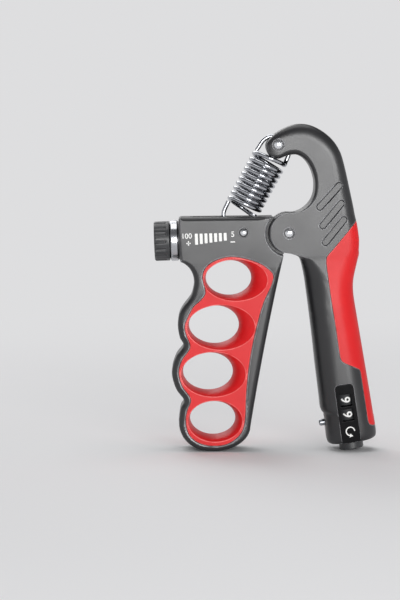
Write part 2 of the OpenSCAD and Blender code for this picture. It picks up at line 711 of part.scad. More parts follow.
module wheel_washers() color("#b08d57") stand() on_counter() {
    tens_z = units_z + wheel_pitch;
    gap_at = [cap_z + cap_t + 2 * fit, units_z + wheel_w / 2 + fit, tens_z + wheel_w / 2 + fit];
    gap_to = [ratchet_z - fit, tens_z - wheel_w / 2 - fit, bearing_z - fit];
    for (i = [0:2]) difference() {
        translate([0, 0, gap_at[i]]) cylinder(r = spacer_r, h = gap_to[i] - gap_at[i]);
        shaft_bore();
    }
}

module reset_shaft() color("#9aa0a6") stand() on_counter() difference() {
    translate([0, 0, shaft_from]) cylinder(d = shaft_d, h = shaft_to - shaft_from);
    translate([0, 0, reset_from]) cylinder(r = reset_thread_r + seat, h = 6.1);
}

module reset_knob() color("#2a2a2d") stand() on_counter() difference() {
    translate([0, 0, reset_from]) rotate_extrude() {
        translate([0, reset_edge]) square([reset_d / 2, reset_to - reset_from - reset_edge]);
        square([reset_d / 2 - reset_edge, reset_to - reset_from]);
        translate([reset_d / 2 - reset_edge, reset_edge]) circle(r = reset_edge);
    }
    translate([0, 0, reset_from - 1]) cylinder(r = reset_head_r + 0.3, h = 2);
    translate([0, 0, reset_from - 1]) cylinder(r = reset_thread_r + fit, h = 9);
    translate([0, 0, shaft_from - seat]) cylinder(d = shaft_d + 2 * seat, h = 5);
}

module reset_screw() color("#9aa0a6") stand() on_counter() {
    translate([0, 0, reset_from + 0.2]) cylinder(r = reset_head_r, h = reset_head_t);
    translate([0, 0, reset_from + 0.6]) cylinder(r = reset_thread_r, h = 5);
}

module trigger_button() color("#c8cbd0") stand() on_counter() translate([0, trigger_y, 0]) {
    difference() {
        translate([0, 0, trigger_z]) {
            rod_x(trigger_d / 2, -trigger_shoulder, -trigger_foot);
            translate([-trigger_shoulder, 0, 0]) rotate([0, -90, 0])
                cylinder(d1 = trigger_d, d2 = trigger_d - 1, h = trigger_nose);
        }
        translate([-11, -5, trigger_z + 0.5]) cube([10, 10, 5]);
    }
    translate([-trigger_foot - 0.5, -trigger_arm[1] / 2, trigger_z + 0.3 - trigger_arm[2]]) cube(trigger_arm);
    translate([-trigger_foot + 0.5, -trigger_arm[1] / 2, ratchet_z + 0.4]) cube([0.8, 4.6, pawl_w]);
    translate([-trigger_foot + 0.5, 2.2, ratchet_z + 0.4]) cube([5.3, 1, pawl_w]);
}

// Return spring between the trigger and the rib on the end cap
coil_from = -trigger_foot + 0.65;
coil_to = -3.45;
trigger_coil = concat([[coil_from, coil_mean_r, 0]],
    [for (k = [0:25]) let (turn = 45 * min(k, 24), x = coil_from + 0.4 + (coil_to - coil_from - 0.8) * k / 25)
        [x, coil_mean_r * cos(turn), coil_mean_r * sin(turn)]],
    [[coil_to, coil_mean_r, 0]]);

module trigger_spring() color("#d5d8dc") stand() on_counter() translate([0, trigger_y, coil_z])
    tube(trigger_coil, coil_wire_d / 2, [0, 1, 0]);

finger_handle();
finger_insert();
thrust_bush();
tail_block();
tail_screws();
pivot_bush();
pivot_washers();
adjust_screw();
adjust_knob();
knob_collar();
carriage();
carriage_pin();
spring();
palm_handle();
palm_pad();
pivot_pin();
hook_pin();
window_plate();
bearing_plate();
end_cap();
reset_screw();
units_wheel();
tens_wheel();
wheel_washers();
reset_shaft();
reset_knob();
trigger_button();
trigger_spring();
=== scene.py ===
"""Looks of an adjustable spring hand gripper with a two-digit repetition counter.

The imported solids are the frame. The moulded shells, soft inlays, spring, lead screw, print and digits are
modelled here on that frame, and the small turned pieces are softened copies of their solids.
"""
import logging
import math
from dataclasses import dataclass, field
from enum import Enum
from typing import Any, Iterable, Optional, Sequence

import bmesh
import bpy
from mathutils import Matrix, Vector


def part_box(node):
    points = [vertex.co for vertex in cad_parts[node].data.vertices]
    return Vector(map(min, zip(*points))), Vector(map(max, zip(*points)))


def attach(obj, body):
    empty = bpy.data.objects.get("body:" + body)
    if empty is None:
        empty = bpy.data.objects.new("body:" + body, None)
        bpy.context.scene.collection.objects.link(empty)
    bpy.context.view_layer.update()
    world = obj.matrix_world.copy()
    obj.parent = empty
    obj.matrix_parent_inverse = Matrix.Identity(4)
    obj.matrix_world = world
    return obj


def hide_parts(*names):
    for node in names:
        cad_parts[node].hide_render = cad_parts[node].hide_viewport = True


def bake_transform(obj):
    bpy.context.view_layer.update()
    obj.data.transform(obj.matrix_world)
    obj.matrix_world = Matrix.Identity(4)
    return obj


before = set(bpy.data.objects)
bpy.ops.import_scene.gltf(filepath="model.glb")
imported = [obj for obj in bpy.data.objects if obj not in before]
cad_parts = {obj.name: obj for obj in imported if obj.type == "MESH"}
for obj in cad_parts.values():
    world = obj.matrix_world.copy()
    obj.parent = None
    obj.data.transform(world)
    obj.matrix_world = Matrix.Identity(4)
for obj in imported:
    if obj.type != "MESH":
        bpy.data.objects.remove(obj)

log = logging.getLogger("gripper")

MM = 0.001
Row = tuple[float, ...]
Point = tuple[float, float]
Loop = list[bmesh.types.BMVert]


def middle_of(node: str) -> Vector:
    """Returns the middle of a solid's box, in metres."""
    low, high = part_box(node)
    return (low + high) / 2


# Pieces are shaped in millimetres of one drawing, x to the right and z up. The pins are given as (x, z).
PIVOT = (0.0, 0.8)
HOOK = (-5.3, 42.9)
CARRIAGE_PIN = (-26.06, 5.1)

# The arm ends at ARM_END along the adjusting screw, and its flat faces lie ARM_HALF from the middle.
ARM_TILT = math.radians(2.2)
ARM_END = -52.4
ARM_HALF = 11.0
SCREW_DROP = 1.1
GRIP_TILT = math.radians(8.3)
COUNTER_AT = (30.35, -2.0, -100.25)

# PLACE leads from the drawing to the frame, the next two from the screw and the counter to the drawing.
PLACE = Matrix.Translation(middle_of("pivot_pin") - Vector((0, 0, PIVOT[1] * MM))) @ Matrix.Scale(MM, 4)
ON_ARM = Matrix.Translation((0, 0, -SCREW_DROP)) @ Matrix.Rotation(-ARM_TILT, 4, "Y")
ON_COUNTER = Matrix.Translation(COUNTER_AT) @ Matrix.Rotation(-GRIP_TILT, 4, "Y")
LENGTHWISE = Matrix.Rotation(math.pi / 2, 4, "Y")


def facing(side: int) -> Matrix:
    """Returns the turn that points a height axis across the part, to the near side for -1, the far for 1."""
    return Matrix.Rotation(-side * math.pi / 2, 4, "X")


def at(spot: Row) -> Matrix:
    """Returns the shift to a point of the drawing, given as (x, z)."""
    return Matrix.Translation((spot[0], 0, spot[1]))


class Body(Enum):
    """The moving bodies of the frame that new pieces ride on."""

    FINGER = "finger_side"
    PALM = "palm_side"
    ADJUSTER = "adjuster"
    SLIDER = "slider"
    UNITS = "units_digit"
    TENS = "tens_digit"
    RESET = "reset"
    TRIGGER = "trigger"


# Curves


def bend(a: Row, b: Row, c: Row, d: Row, t: float) -> Row:
    """Blends four rows so that the curve passes through the middle two.

    Args:
        a, b, c, d: Rows of equal length.
        t: Share of the way from b to c.

    Returns:
        The row at that share.
    """
    return tuple(
        0.5 * (2 * q + (r - p) * t + (2 * p - 5 * q + 4 * r - s) * t * t + (3 * q - p - 3 * r + s) * t**3)
        for p, q, r, s in zip(a, b, c, d)
    )


def flow(rows: Sequence[Row], steps: int, closed: bool = False) -> list[Row]:
    """Runs a smooth curve through rows of numbers.

    Args:
        rows: The rows to pass through.
        steps: Points made for each span.
        closed: Whether the last row joins the first.

    Returns:
        The rows along the curve.
    """
    n = len(rows)
    spans = n if closed else n - 1

    def pick(i: int) -> Row:
        """Returns a row, wrapped or held at the ends."""
        return rows[i % n] if closed else rows[min(max(i, 0), n - 1)]

    made = []
    for i in range(spans):
        near = [pick(i + j) for j in (-1, 0, 1, 2)]
        made += [bend(*near, k / steps) for k in range(steps)]
    return made if closed else made + [tuple(rows[-1])]


def inward(points: Sequence[Row], closed: bool = True) -> list[Point]:
    """Finds the inward directions of a clockwise outline.

    Args:
        points: Points as (x, z), with anything after them.
        closed: Whether the last point joins the first.

    Returns:
        A unit direction for each point.
    """
    n = len(points)
    found = []
    for i in range(n):
        a = points[(i - 1) % n] if closed else points[max(i - 1, 0)]
        b = points[(i + 1) % n] if closed else points[min(i + 1, n - 1)]
        dx, dz = b[0] - a[0], b[1] - a[1]
        length = math.hypot(dx, dz)
        found.append((dz / length, -dx / length))
    return found


def inset(points: Sequence[Row], gaps: Sequence[float] | float) -> list[Point]:
    """Moves a closed clockwise outline inwards.

    Args:
        points: Points as (x, z), with anything after them.
        gaps: One distance, or one for each point.

    Returns:
        The moved outline as (x, z).
    """
    each = [gaps] * len(points) if isinstance(gaps, (int, float)) else gaps
    return [(p[0] + g * n[0], p[1] + g * n[1]) for p, g, n in zip(points, each, inward(points))]


def stadium(a: Row, b: Row, radius: float, steps: int = 10) -> list[Point]:
    """Draws a slot with round ends.

    Args:
        a, b: Centres of the two ends.
        radius: Half the width.
        steps: Segments of each round end.

    Returns:
        The outline, clockwise.
    """
    turn = math.atan2(b[1] - a[1], b[0] - a[0])
    made = []
    for centre, start in ((b, turn + math.pi / 2), (a, turn - math.pi / 2)):
        for k in range(steps + 1):
            angle = start - math.pi * k / steps
            made.append((centre[0] + radius * math.cos(angle), centre[1] + radius * math.sin(angle)))
    return made


def rounded_box(width: float, height: float, radius: float, steps: int = 5) -> list[Point]:
    """Draws a rectangle with round corners about the origin.

    Args:
        width, height: Full sizes.
        radius: Corner radius.
        steps: Segments of a corner.

    Returns:
        The outline, clockwise.
    """
    x, z = width / 2 - radius, height / 2 - radius
    made = []
    for cx, cz, start in ((x, z, 90), (x, -z, 0), (-x, -z, -90), (-x, z, -180)):
        for k in range(steps + 1):
            angle = math.radians(start - 90 * k / steps)
            made.append((cx + radius * math.cos(angle), cz + radius * math.sin(angle)))
    return made


# Mesh bench


class Blank:
    """A mesh on the bench, shaped in millimetres.

    Vertices closer than joined count as one, and creases below crease degrees as flat. Edge wear and a
    painted highlight show on faces narrower than wear_and_highlight_width, from a curve of
    wear_and_highlight_from radians a millimetre, and are full wear_and_highlight_range above.
    """

    joined: float = 0.004
    crease: float = 0.4
    wear_and_highlight_width: float = 1.0
    wear_and_highlight_from: float = 0.6
    wear_and_highlight_range: float = 1.2

    def __init__(self) -> None:
        """Starts with nothing on the bench."""
        self.bm = bmesh.new()

    def ring(self, points: Iterable[Row]) -> Loop:
        """Lays a closed loop of edges through points."""
        places = list(points)
        loop = bmesh.ops.create_circle(self.bm, segments=len(places), radius=1.0)["verts"]
        for vert, place in zip(loop, places):
            vert.co = place
        return list(loop)

    @classmethod
    def of_curve(cls, curve: bpy.types.Curve) -> "Blank":
        """Returns the mesh that Blender makes of a curve or text, which is used up."""
        shown = bpy.data.objects.new(curve.name, curve)
        bpy.context.scene.collection.objects.link(shown)
        mesh = bpy.data.meshes.new_from_object(shown.evaluated_get(bpy.context.evaluated_depsgraph_get()))
        made = cls()
        made.bm.from_mesh(mesh)
        bpy.data.objects.remove(shown)
        bpy.data.curves.remove(curve)
        bpy.data.meshes.remove(mesh)
        return made

    @staticmethod
    def edges_of(loop: Loop) -> list[bmesh.types.BMEdge]:
        """Returns the edges that join a loop's vertices in order."""
        turned = loop[1:] + loop[:1]
        return [next(e for e in v.link_edges if e.other_vert(v) is w) for v, w in zip(loop, turned)]

    def grow(self, loop: Loop, points: Iterable[Row]) -> Loop:
        """Extrudes a loop to new places.

        Args:
            loop: The loop to extrude.
            points: A place for each vertex.

        Returns:
            The new loop, in the same order.
        """
        made = bmesh.ops.extrude_edge_only(self.bm, edges=self.edges_of(loop))["geom"]
        fresh = {g for g in made if isinstance(g, bmesh.types.BMVert)}
        grown = []
        for vert, place in zip(loop, points):
            twin = next(e.other_vert(vert) for e in vert.link_edges if e.other_vert(vert) in fresh)
            twin.co = place
            grown.append(twin)
        return grown

    def loft(self, rings: Sequence[Sequence[Row]], capped: bool = True) -> tuple[Loop, Loop]:
        """Skins a row of rings.

        Args:
            rings: Rings with equal numbers of points.
            capped: Whether the two ends are closed.

        Returns:
            The first and the last loop.
        """
        first = loop = self.ring(rings[0])
        for points in rings[1:]:
            loop = self.grow(loop, points)
        if capped:
            for end in (first, loop):
                bmesh.ops.edgeloop_fill(self.bm, edges=self.edges_of(end))
        return first, loop

    def fill(self, *loops: Loop) -> None:
        """Fills the flat region between an outer loop and the loops inside it."""
        edges = [e for loop in loops for e in self.edges_of(loop)]
        bmesh.ops.triangle_fill(self.bm, use_beauty=True, use_dissolve=False, edges=edges)

    def lathe(self, profile: Sequence[Row], turn: Matrix, segments: int = 64) -> "Blank":
        """Spins a profile of (radius, height) about the height axis.

        Args:
            profile: Points from one end of the axis to the other.
            turn: Where the axis stands.
            segments: Steps of the full turn.

        Returns:
            This blank.
        """
        spot = Blank()
        verts = [spot.bm.verts.new((r, 0, h)) for r, h in profile]
        edges = [spot.bm.edges.new(pair) for pair in zip(verts, verts[1:])]
        bmesh.ops.spin(
            spot.bm, geom=verts + edges, cent=(0, 0, 0), axis=(0, 0, 1), angle=2 * math.pi, steps=segments,
            use_merge=True,
        )
        bmesh.ops.remove_doubles(spot.bm, verts=spot.bm.verts, dist=1e-4)
        spot.move(turn)
        return self.take(spot)

    def prism(self, outline: Sequence[Row], levels: Sequence[Point]) -> "Blank":
        """Stacks copies of an outline across the part.

        Args:
            outline: Clockwise points as (x, z).
            levels: Pairs of (y, growth of the outline).

        Returns:
            This blank.
        """
        self.loft([[(x, y, z) for x, z in inset(outline, -grow)] for y, grow in levels])
        return self

    def move(self, matrix: Matrix) -> "Blank":
        """Moves everything on the bench."""
        bmesh.ops.transform(self.bm, matrix=matrix, verts=self.bm.verts)
        return self

    def take(self, other: "Blank") -> "Blank":
        """Adds another blank's mesh, which is used up."""
        other.tidy()
        mesh = bpy.data.meshes.new("bench")
        other.bm.to_mesh(mesh)
        self.bm.from_mesh(mesh)
        bpy.data.meshes.remove(mesh)
        other.bm.free()
        return self

    def islands(self) -> list[list[bmesh.types.BMFace]]:
        """Returns the faces of each connected piece of the mesh."""
        left, found = set(self.bm.faces), []
        while left:
            island, rim = [], [left.pop()]
            while rim:
                face = rim.pop()
                island.append(face)
                for other in {f for e in face.edges for f in e.link_faces} & left:
                    left.remove(other)
                    rim.append(other)
            found.append(island)
        return found

    def tidy(self) -> "Blank":
        """Turns all faces outwards."""
        bmesh.ops.recalc_face_normals(self.bm, faces=self.bm.faces)
        self.bm.normal_update()
        for island in self.islands():
            if sum(f.calc_center_median().dot(f.normal) * f.calc_area() for f in island) < 0:
                bmesh.ops.reverse_faces(self.bm, faces=island)
        return self

    def stand(self, name: str) -> bpy.types.Object:
        """Returns the blank as a linked object."""
        mesh = bpy.data.meshes.new(name)
        self.tidy().bm.to_mesh(mesh)
        made = bpy.data.objects.new(name, mesh)
        bpy.context.scene.collection.objects.link(made)
        return made

    def combine(self, operation: str, *tools: "Blank") -> "Blank":
        """Cuts, joins or intersects with other blanks, which are used up.

        Args:
            operation: DIFFERENCE, UNION or INTERSECT.
            tools: The other blanks.

        Returns:
            This blank.

        Raises:
            RuntimeError: A tool changed nothing, as where a mesh isn't closed.
        """
        for tool in tools:
            target, cutter = self.stand("target"), tool.stand("cutter")
            change = target.modifiers.new("combine", "BOOLEAN")
            change.operation, change.solver, change.object = operation, "MANIFOLD", cutter
            graph = bpy.context.evaluated_depsgraph_get()
            mesh = bpy.data.meshes.new_from_object(target.evaluated_get(graph))
            if len(mesh.polygons) == len(self.bm.faces):
                raise RuntimeError(f"{operation} changed nothing")
            self.bm.clear()
            self.bm.from_mesh(mesh)
            for used in (target, cutter):
                data = used.data
                bpy.data.objects.remove(used)
                bpy.data.meshes.remove(data)
            bpy.data.meshes.remove(mesh)
            tool.bm.free()
        return self

    def cut(self, *tools: "Blank") -> "Blank":
        """Takes other blanks away."""
        return self.combine("DIFFERENCE", *tools)

    def merge(self) -> "Blank":
        """Joins vertices that lie on one another."""
        bmesh.ops.remove_doubles(self.bm, verts=self.bm.verts, dist=self.joined)
        return self

    def soften(self, width: float, angle: float = 32.0, segments: int = 2) -> "Blank":
        """Rounds the edges that are sharper than an angle.

        Args:
            width: Width of the rounding.
            angle: Sharpness in degrees from which an edge is rounded.
            segments: Strips of the rounding.

        Returns:
            This blank.
        """
        bmesh.ops.dissolve_limit(
            self.bm, angle_limit=math.radians(self.crease), verts=self.bm.verts, edges=self.bm.edges,
            use_dissolve_boundaries=False,
        )
        limit = math.radians(angle)
        sharp = [e for e in self.bm.edges if len(e.link_faces) == 2 and e.calc_face_angle(0) > limit]
        bmesh.ops.bevel(
            self.bm, geom=sharp, offset=width, segments=segments, profile=0.5, affect="EDGES",
            clamp_overlap=False, material=-1,
        )
        return self

    def mark_edges(self) -> None:
        """Writes the edge_wear_and_highlight attribute, the mask of wear and painted highlight: 0 on flats
        and wide faces, 1 on small outer roundings.
        """
        layer = self.bm.faces.layers.float.new("edge_wear_and_highlight")
        for face in self.bm.faces:
            area, tight = face.calc_area(), 0.0
            for edge in face.edges:
                if len(edge.link_faces) == 2 and 1e-9 < area < self.wear_and_highlight_width * edge.calc_length():
                    tight = max(tight, edge.calc_face_angle_signed(0.0) * edge.calc_length() / area)
            face[layer] = min(max((tight - self.wear_and_highlight_from) / self.wear_and_highlight_range, 0.0), 1.0)


# Finishes


def linear(code: str) -> tuple[float, float, float, float]:
    """Returns a colour code such as #c0202a as linear light."""
    parts = [int(code[i : i + 2], 16) / 255 for i in (1, 3, 5)]
    return (*(p / 12.92 if p <= 0.04045 else ((p + 0.055) / 1.055) ** 2.4 for p in parts), 1.0)


class Relief(Enum):
    """How a surface is worked."""

    GRAIN = "moulded grain"
    LATHE = "turned"


@dataclass(frozen=True)
class Finish:
    """A surface finish.

    The colour drifts to a second one in patches, roughness varies by spread, and grain is as fine and as deep
    as given. Small edges turn to the wear_and_highlight_colour, partly as wear and partly as a painted
    highlight. Lengths are in millimetres. The axis and centre of a turned finish turn and shift its
    coordinates so that it runs round the height axis.
    """

    name: str
    slot: str
    colour: str
    second: str
    roughness: float
    spread: float = 0.08
    relief: Relief = Relief.GRAIN
    grain: float = 0.3
    depth: float = 0.02
    patch: float = 14.0
    metallic: float = 0.0
    specular: float = 0.5
    # Edge colour and its amount on small roundings: partly edge wear, partly a painted highlight.
    wear_and_highlight_colour: str = "#6a6a6c"
    wear_and_highlight: float = 0.3
    axis: tuple[float, float, float] = (0.0, 0.0, 0.0)
    centre: tuple[float, float, float] = (0.0, 0.0, 0.0)


# Its pale grey edge colour paints highlight lines along the rims and along the lip round the red inlay.
SATIN_BLACK = Finish(
    "satin_black_moulding", "black_plastic", "#1b1b1d", "#222224", 0.36, 0.1, grain=0.22, depth=0.012,
    specular=0.66, wear_and_highlight=0.7, wear_and_highlight_colour="#a6a6aa",
)
KNOB_BLACK = Finish(
    "knob_black", "knob_plastic", "#262729", "#2e2f31", 0.36, 0.1, grain=0.25, depth=0.014, specular=0.66
)
# Its light red edge colour paints highlight lines along the finger holes' rims and the pad's edges.
SOFT_RED = Finish(
    "soft_touch_red", "red_grip", "#dd1d20", "#d2191d", 0.46, grain=0.28, depth=0.016, specular=0.35,
    wear_and_highlight=0.8, wear_and_highlight_colour="#f47a78",
)
GLOSS_BLACK = Finish(
    "gloss_black_panel", "gloss_black", "#0b0b0c", "#101012", 0.16, 0.04, grain=2.0, depth=0.002,
    specular=0.13, wear_and_highlight=0.1,
)
WHEEL_BLACK = Finish(
    "digit_wheel_black", "digit_wheel", "#1d1e20", "#232528", 0.5, grain=0.2, depth=0.01, specular=0.3,
    wear_and_highlight=0.2,
)
WHITE_INK = Finish("white_ink", "digit_wheel", "#f2f2f0", "#e9e9e6", 0.5, grain=0.15, depth=0.006, wear_and_highlight=0.0)
NYLON = Finish("natural_nylon", "white_plastic", "#ddd8cc", "#d3cdbf", 0.45, wear_and_highlight=0.1, wear_and_highlight_colour="#f0ece2")
# The near-white edge colours of the chromes paint glints on their small roundings, with a little wear.
BRIGHT_CHROME = Finish(
    "bright_chrome", "chrome", "#b2b4b9", "#a9abb0", 0.11, 0.06, grain=3.0, depth=0.0015, metallic=1.0,
    wear_and_highlight=0.15, wear_and_highlight_colour="#eceef0",
)
COLLAR_CHROME = Finish(
    "collar_chrome", "chrome", "#c6c8cc", "#bec0c4", 0.2, 0.05, grain=3.0, depth=0.0015, metallic=1.0,
    wear_and_highlight=0.1, wear_and_highlight_colour="#eceef0",
)
POLISHED = Finish(
    "polished_rivet", "chrome", "#e6e8eb", "#dee0e3", 0.2, 0.05, grain=2.0, depth=0.002, metallic=1.0,
    wear_and_highlight=0.1, wear_and_highlight_colour="#f2f3f4",
)
TURNED_STEEL = Finish(
    "turned_steel", "steel", "#a9acb1", "#9da1a6", 0.3, 0.14, Relief.LATHE, grain=0.16, depth=0.01,
    metallic=1.0, wear_and_highlight_colour="#c9ccd0", axis=(0.0, -math.pi / 2 - ARM_TILT, 0.0), centre=(0.0, 0.0, -SCREW_DROP),
)
BRONZE = Finish(
    "sintered_bronze", "bronze", "#b58a52", "#a37a46", 0.38, 0.15, grain=0.12, depth=0.012, metallic=1.0
)


class Wiring:
    """Places and links nodes in one node tree."""

    def __init__(self, tree: bpy.types.NodeTree) -> None:
        """Keeps the tree that is wired."""
        self.tree = tree

    def node(self, kind: str, inputs: Optional[dict[Any, Any]] = None, **settings: Any) -> bpy.types.Node:
        """Adds a node.

        Args:
            kind: The node's type.
            inputs: Values or sockets by input name or number.
            settings: Properties of the node.

        Returns:
            The node.
        """
        made = self.tree.nodes.new(kind)
        for name, value in settings.items():
            setattr(made, name, value)
        for name, value in (inputs or {}).items():
            if isinstance(value, bpy.types.NodeSocket):
                self.tree.links.new(value, made.inputs[name])
            else:
                made.inputs[name].default_value = value
        return made

    def maths(self, operation: str, *values: Any) -> bpy.types.NodeSocket:
        """Adds an operation on values and sockets and returns its output."""
        return self.node("ShaderNodeMath", dict(enumerate(values)), operation=operation).outputs[0]

    def noise(self, vector: Any, scale: Any, detail: float = 3.0) -> bpy.types.NodeSocket:
        """Adds a noise and returns its value."""
        inputs = {"Vector": vector, "Scale": scale, "Detail": detail, "Roughness": 0.55}
        return self.node("ShaderNodeTexNoise", inputs).outputs["Fac"]

    def mix(self, share: Any, a: Any, b: Any) -> bpy.types.NodeSocket:
        """Mixes two colours and returns the result."""
        return self.node("ShaderNodeMix", {0: share, 6: a, 7: b}, data_type="RGBA").outputs[2]

    def ramp(self, value: Any, low: float, high: float, **settings: Any) -> bpy.types.NodeSocket:
        """Adds a rise from 0 at low to 1 at high and returns its output."""
        return self.node("ShaderNodeMapRange", {0: value, 1: low, 2: high}, **settings).outputs[0]

    def close(self, out: bpy.types.Node, **results: bpy.types.NodeSocket) -> bpy.types.NodeTree:
        """Links a group's results to its output node and returns the group."""
        for name, socket in results.items():
            self.tree.links.new(socket, out.inputs[name])
        return self.tree

    def off_middle(self, value: Any) -> bpy.types.NodeSocket:
        """Shifts a noise so that it swings about 0."""
        return self.maths("SUBTRACT", value, 0.5)


class PaintShop:
    """Builds the shared effects once and a material for each finish."""

    cell_height = 0.6
    speckle = 0.35
    drift_range = (0.4, 0.9)
    edge_breaks_a_metre = 260.0
    edge_break_range = (0.2, 0.6)
    wear_polish = 0.12
    bump_strength = 0.5
    working_inputs = (
        ("Coordinates", "Vector"), ("Fineness", "Float"), ("Patches", "Float"), ("Roughness", "Float"),
        ("Spread", "Float"),
    )
    working_outputs = (("Height", "Float"), ("Roughness", "Float"))

    def __init__(self) -> None:
        """Builds the shared effects."""
        self.grain = self._grain()
        self.turning = self._turning()
        self.drift = self._drift()
        self.wear_and_highlight = self._wear_and_highlight()
        self.made: dict[str, bpy.types.Material] = {}

    @staticmethod
    def _group(name: str, inputs: Sequence[tuple[str, str]], outputs: Sequence[tuple[str, str]]) -> tuple:
        """Starts a node group.

        Args:
            name: The group's name.
            inputs: Pairs of socket name and type.
            outputs: Pairs of socket name and type.

        Returns:
            Its wiring, its input sockets and its output node.
        """
        tree = bpy.data.node_groups.new(name, "ShaderNodeTree")
        for direction, sockets in (("INPUT", inputs), ("OUTPUT", outputs)):
            for label, kind in sockets:
                tree.interface.new_socket(label, in_out=direction, socket_type=f"NodeSocket{kind}")
        wires = Wiring(tree)
        return wires, wires.node("NodeGroupInput").outputs, wires.node("NodeGroupOutput")

    def _grain(self) -> bpy.types.NodeTree:
        """Moulded grain: fine cells and noise, with roughness that drifts over larger patches."""
        w, i, out = self._group("moulded_grain", self.working_inputs, self.working_outputs)
        place = i["Coordinates"]
        cells = w.node("ShaderNodeTexVoronoi", {"Vector": place, "Scale": i["Fineness"]}, feature="SMOOTH_F1")
        fine = w.noise(place, i["Fineness"], 4.0)
        patch = w.off_middle(w.noise(place, i["Patches"], 2.0))
        shade = w.maths("ADD", patch, w.maths("MULTIPLY", w.off_middle(fine), 0.5))
        height = w.maths("ADD", w.maths("MULTIPLY", cells.outputs["Distance"], self.cell_height), fine)
        rough = w.maths("ADD", i["Roughness"], w.maths("MULTIPLY", shade, i["Spread"]))
        return w.close(out, Height=height, Roughness=rough)

    def _turning(self) -> bpy.types.NodeTree:
        """Turning marks: rings round the height axis, uneven along it and outwards."""
        w, i, out = self._group("turning_marks", self.working_inputs, self.working_outputs)
        place = i["Coordinates"]
        x, y, z = w.node("ShaderNodeSeparateXYZ", {"Vector": place}).outputs
        radius = w.maths("SQRT", w.maths("ADD", w.maths("MULTIPLY", x, x), w.maths("MULTIPLY", y, y)))
        lined = w.node("ShaderNodeCombineXYZ", {"X": radius, "Y": z}).outputs["Vector"]
        rings = w.noise(lined, i["Fineness"], 2.0)
        shade = w.maths("ADD", w.off_middle(rings), w.off_middle(w.noise(place, i["Patches"], 2.0)))
        rough = w.maths("ADD", i["Roughness"], w.maths("MULTIPLY", shade, i["Spread"]))
        return w.close(out, Height=rings, Roughness=rough)

    def _drift(self) -> bpy.types.NodeTree:
        """Colour drift: two close colours in soft patches with a little speckle."""
        w, i, out = self._group(
            "colour_drift",
            (("Coordinates", "Vector"), ("Patches", "Float"), ("Fineness", "Float"), ("Colour", "Color"),
             ("Second", "Color")),
            (("Colour", "Color"),),
        )
        patch = w.noise(i["Coordinates"], i["Patches"])
        speck = w.maths("MULTIPLY", w.noise(i["Coordinates"], i["Fineness"], 2.0), self.speckle)
        share = w.ramp(w.maths("ADD", patch, speck), *self.drift_range)
        return w.close(out, Colour=w.mix(share, i["Colour"], i["Second"]))

    def _wear_and_highlight(self) -> bpy.types.NodeTree:
        """Edge wear and painted highlight: small roundings turn lighter and smoother in broken stretches."""
        w, i, out = self._group(
            "edge_wear_and_highlight",
            (("Coordinates", "Vector"), ("Edge", "Float"), ("Amount", "Float"), ("Colour", "Color"),
             ("Wear And Highlight", "Color"), ("Roughness", "Float")),
            (("Colour", "Color"), ("Roughness", "Float")),
        )
        broken = w.ramp(w.noise(i["Coordinates"], self.edge_breaks_a_metre, 4.0), *self.edge_break_range)
        mask = w.maths("MULTIPLY", w.maths("MULTIPLY", i["Edge"], broken), i["Amount"])
        smoother = w.maths("SUBTRACT", i["Roughness"], w.maths("MULTIPLY", mask, self.wear_polish))
        return w.close(out, Colour=w.mix(mask, i["Colour"], i["Wear And Highlight"]), Roughness=smoother)

    def material(self, finish: Finish) -> bpy.types.Material:
        """Returns the material of a finish, built on its first use."""
        if finish.name not in self.made:
            self.made[finish.name] = self._material(finish)
        return self.made[finish.name]

    def _material(self, finish: Finish) -> bpy.types.Material:
        """Builds a material.

        Args:
            finish: What it shows.

        Returns:
            The material.
        """
        made = bpy.data.materials.new(finish.name)
        made.use_nodes = True
        made.node_tree.nodes.clear()
        w = Wiring(made.node_tree)
        place = w.node("ShaderNodeTexCoord").outputs["Object"]
        working = self.grain
        if finish.relief is Relief.LATHE:
            working = self.turning
            shift = [-c for c in PLACE @ Vector(finish.centre)]
            shifted = w.node("ShaderNodeMapping", {"Vector": place, "Location": shift}).outputs[0]
            place = w.node("ShaderNodeMapping", {"Vector": shifted, "Rotation": finish.axis}).outputs[0]
        fineness, patches = (1 / (size * MM) for size in (finish.grain, finish.patch))
        scales = {"Coordinates": place, "Fineness": fineness, "Patches": patches}
        tones = w.node(
            "ShaderNodeGroup", {**scales, "Colour": linear(finish.colour), "Second": linear(finish.second)},
            node_tree=self.drift,
        ).outputs
        worked = w.node(
            "ShaderNodeGroup", {**scales, "Roughness": finish.roughness, "Spread": finish.spread},
            node_tree=working,
        ).outputs
        # Small roundings take the edge colour: partly wear, partly a painted highlight.
        used = w.node(
            "ShaderNodeGroup",
            {
                "Coordinates": place, "Amount": finish.wear_and_highlight, "Colour": tones["Colour"],
                "Wear And Highlight": linear(finish.wear_and_highlight_colour), "Roughness": worked["Roughness"],
                "Edge": w.node("ShaderNodeAttribute", attribute_name="edge_wear_and_highlight").outputs["Fac"],
            },
            node_tree=self.wear_and_highlight,
        ).outputs
        relief = {"Strength": self.bump_strength, "Distance": finish.depth * MM, "Height": worked["Height"]}
        bump = w.node("ShaderNodeBump", relief)
        shader = w.node(
            "ShaderNodeBsdfPrincipled",
            {
                "Base Color": used["Colour"], "Roughness": used["Roughness"],
                "Normal": bump.outputs["Normal"], "Metallic": finish.metallic,
                "Specular IOR Level": finish.specular,
            },
        )
        w.node("ShaderNodeOutputMaterial", {"Surface": shader.outputs["BSDF"]})
        return made


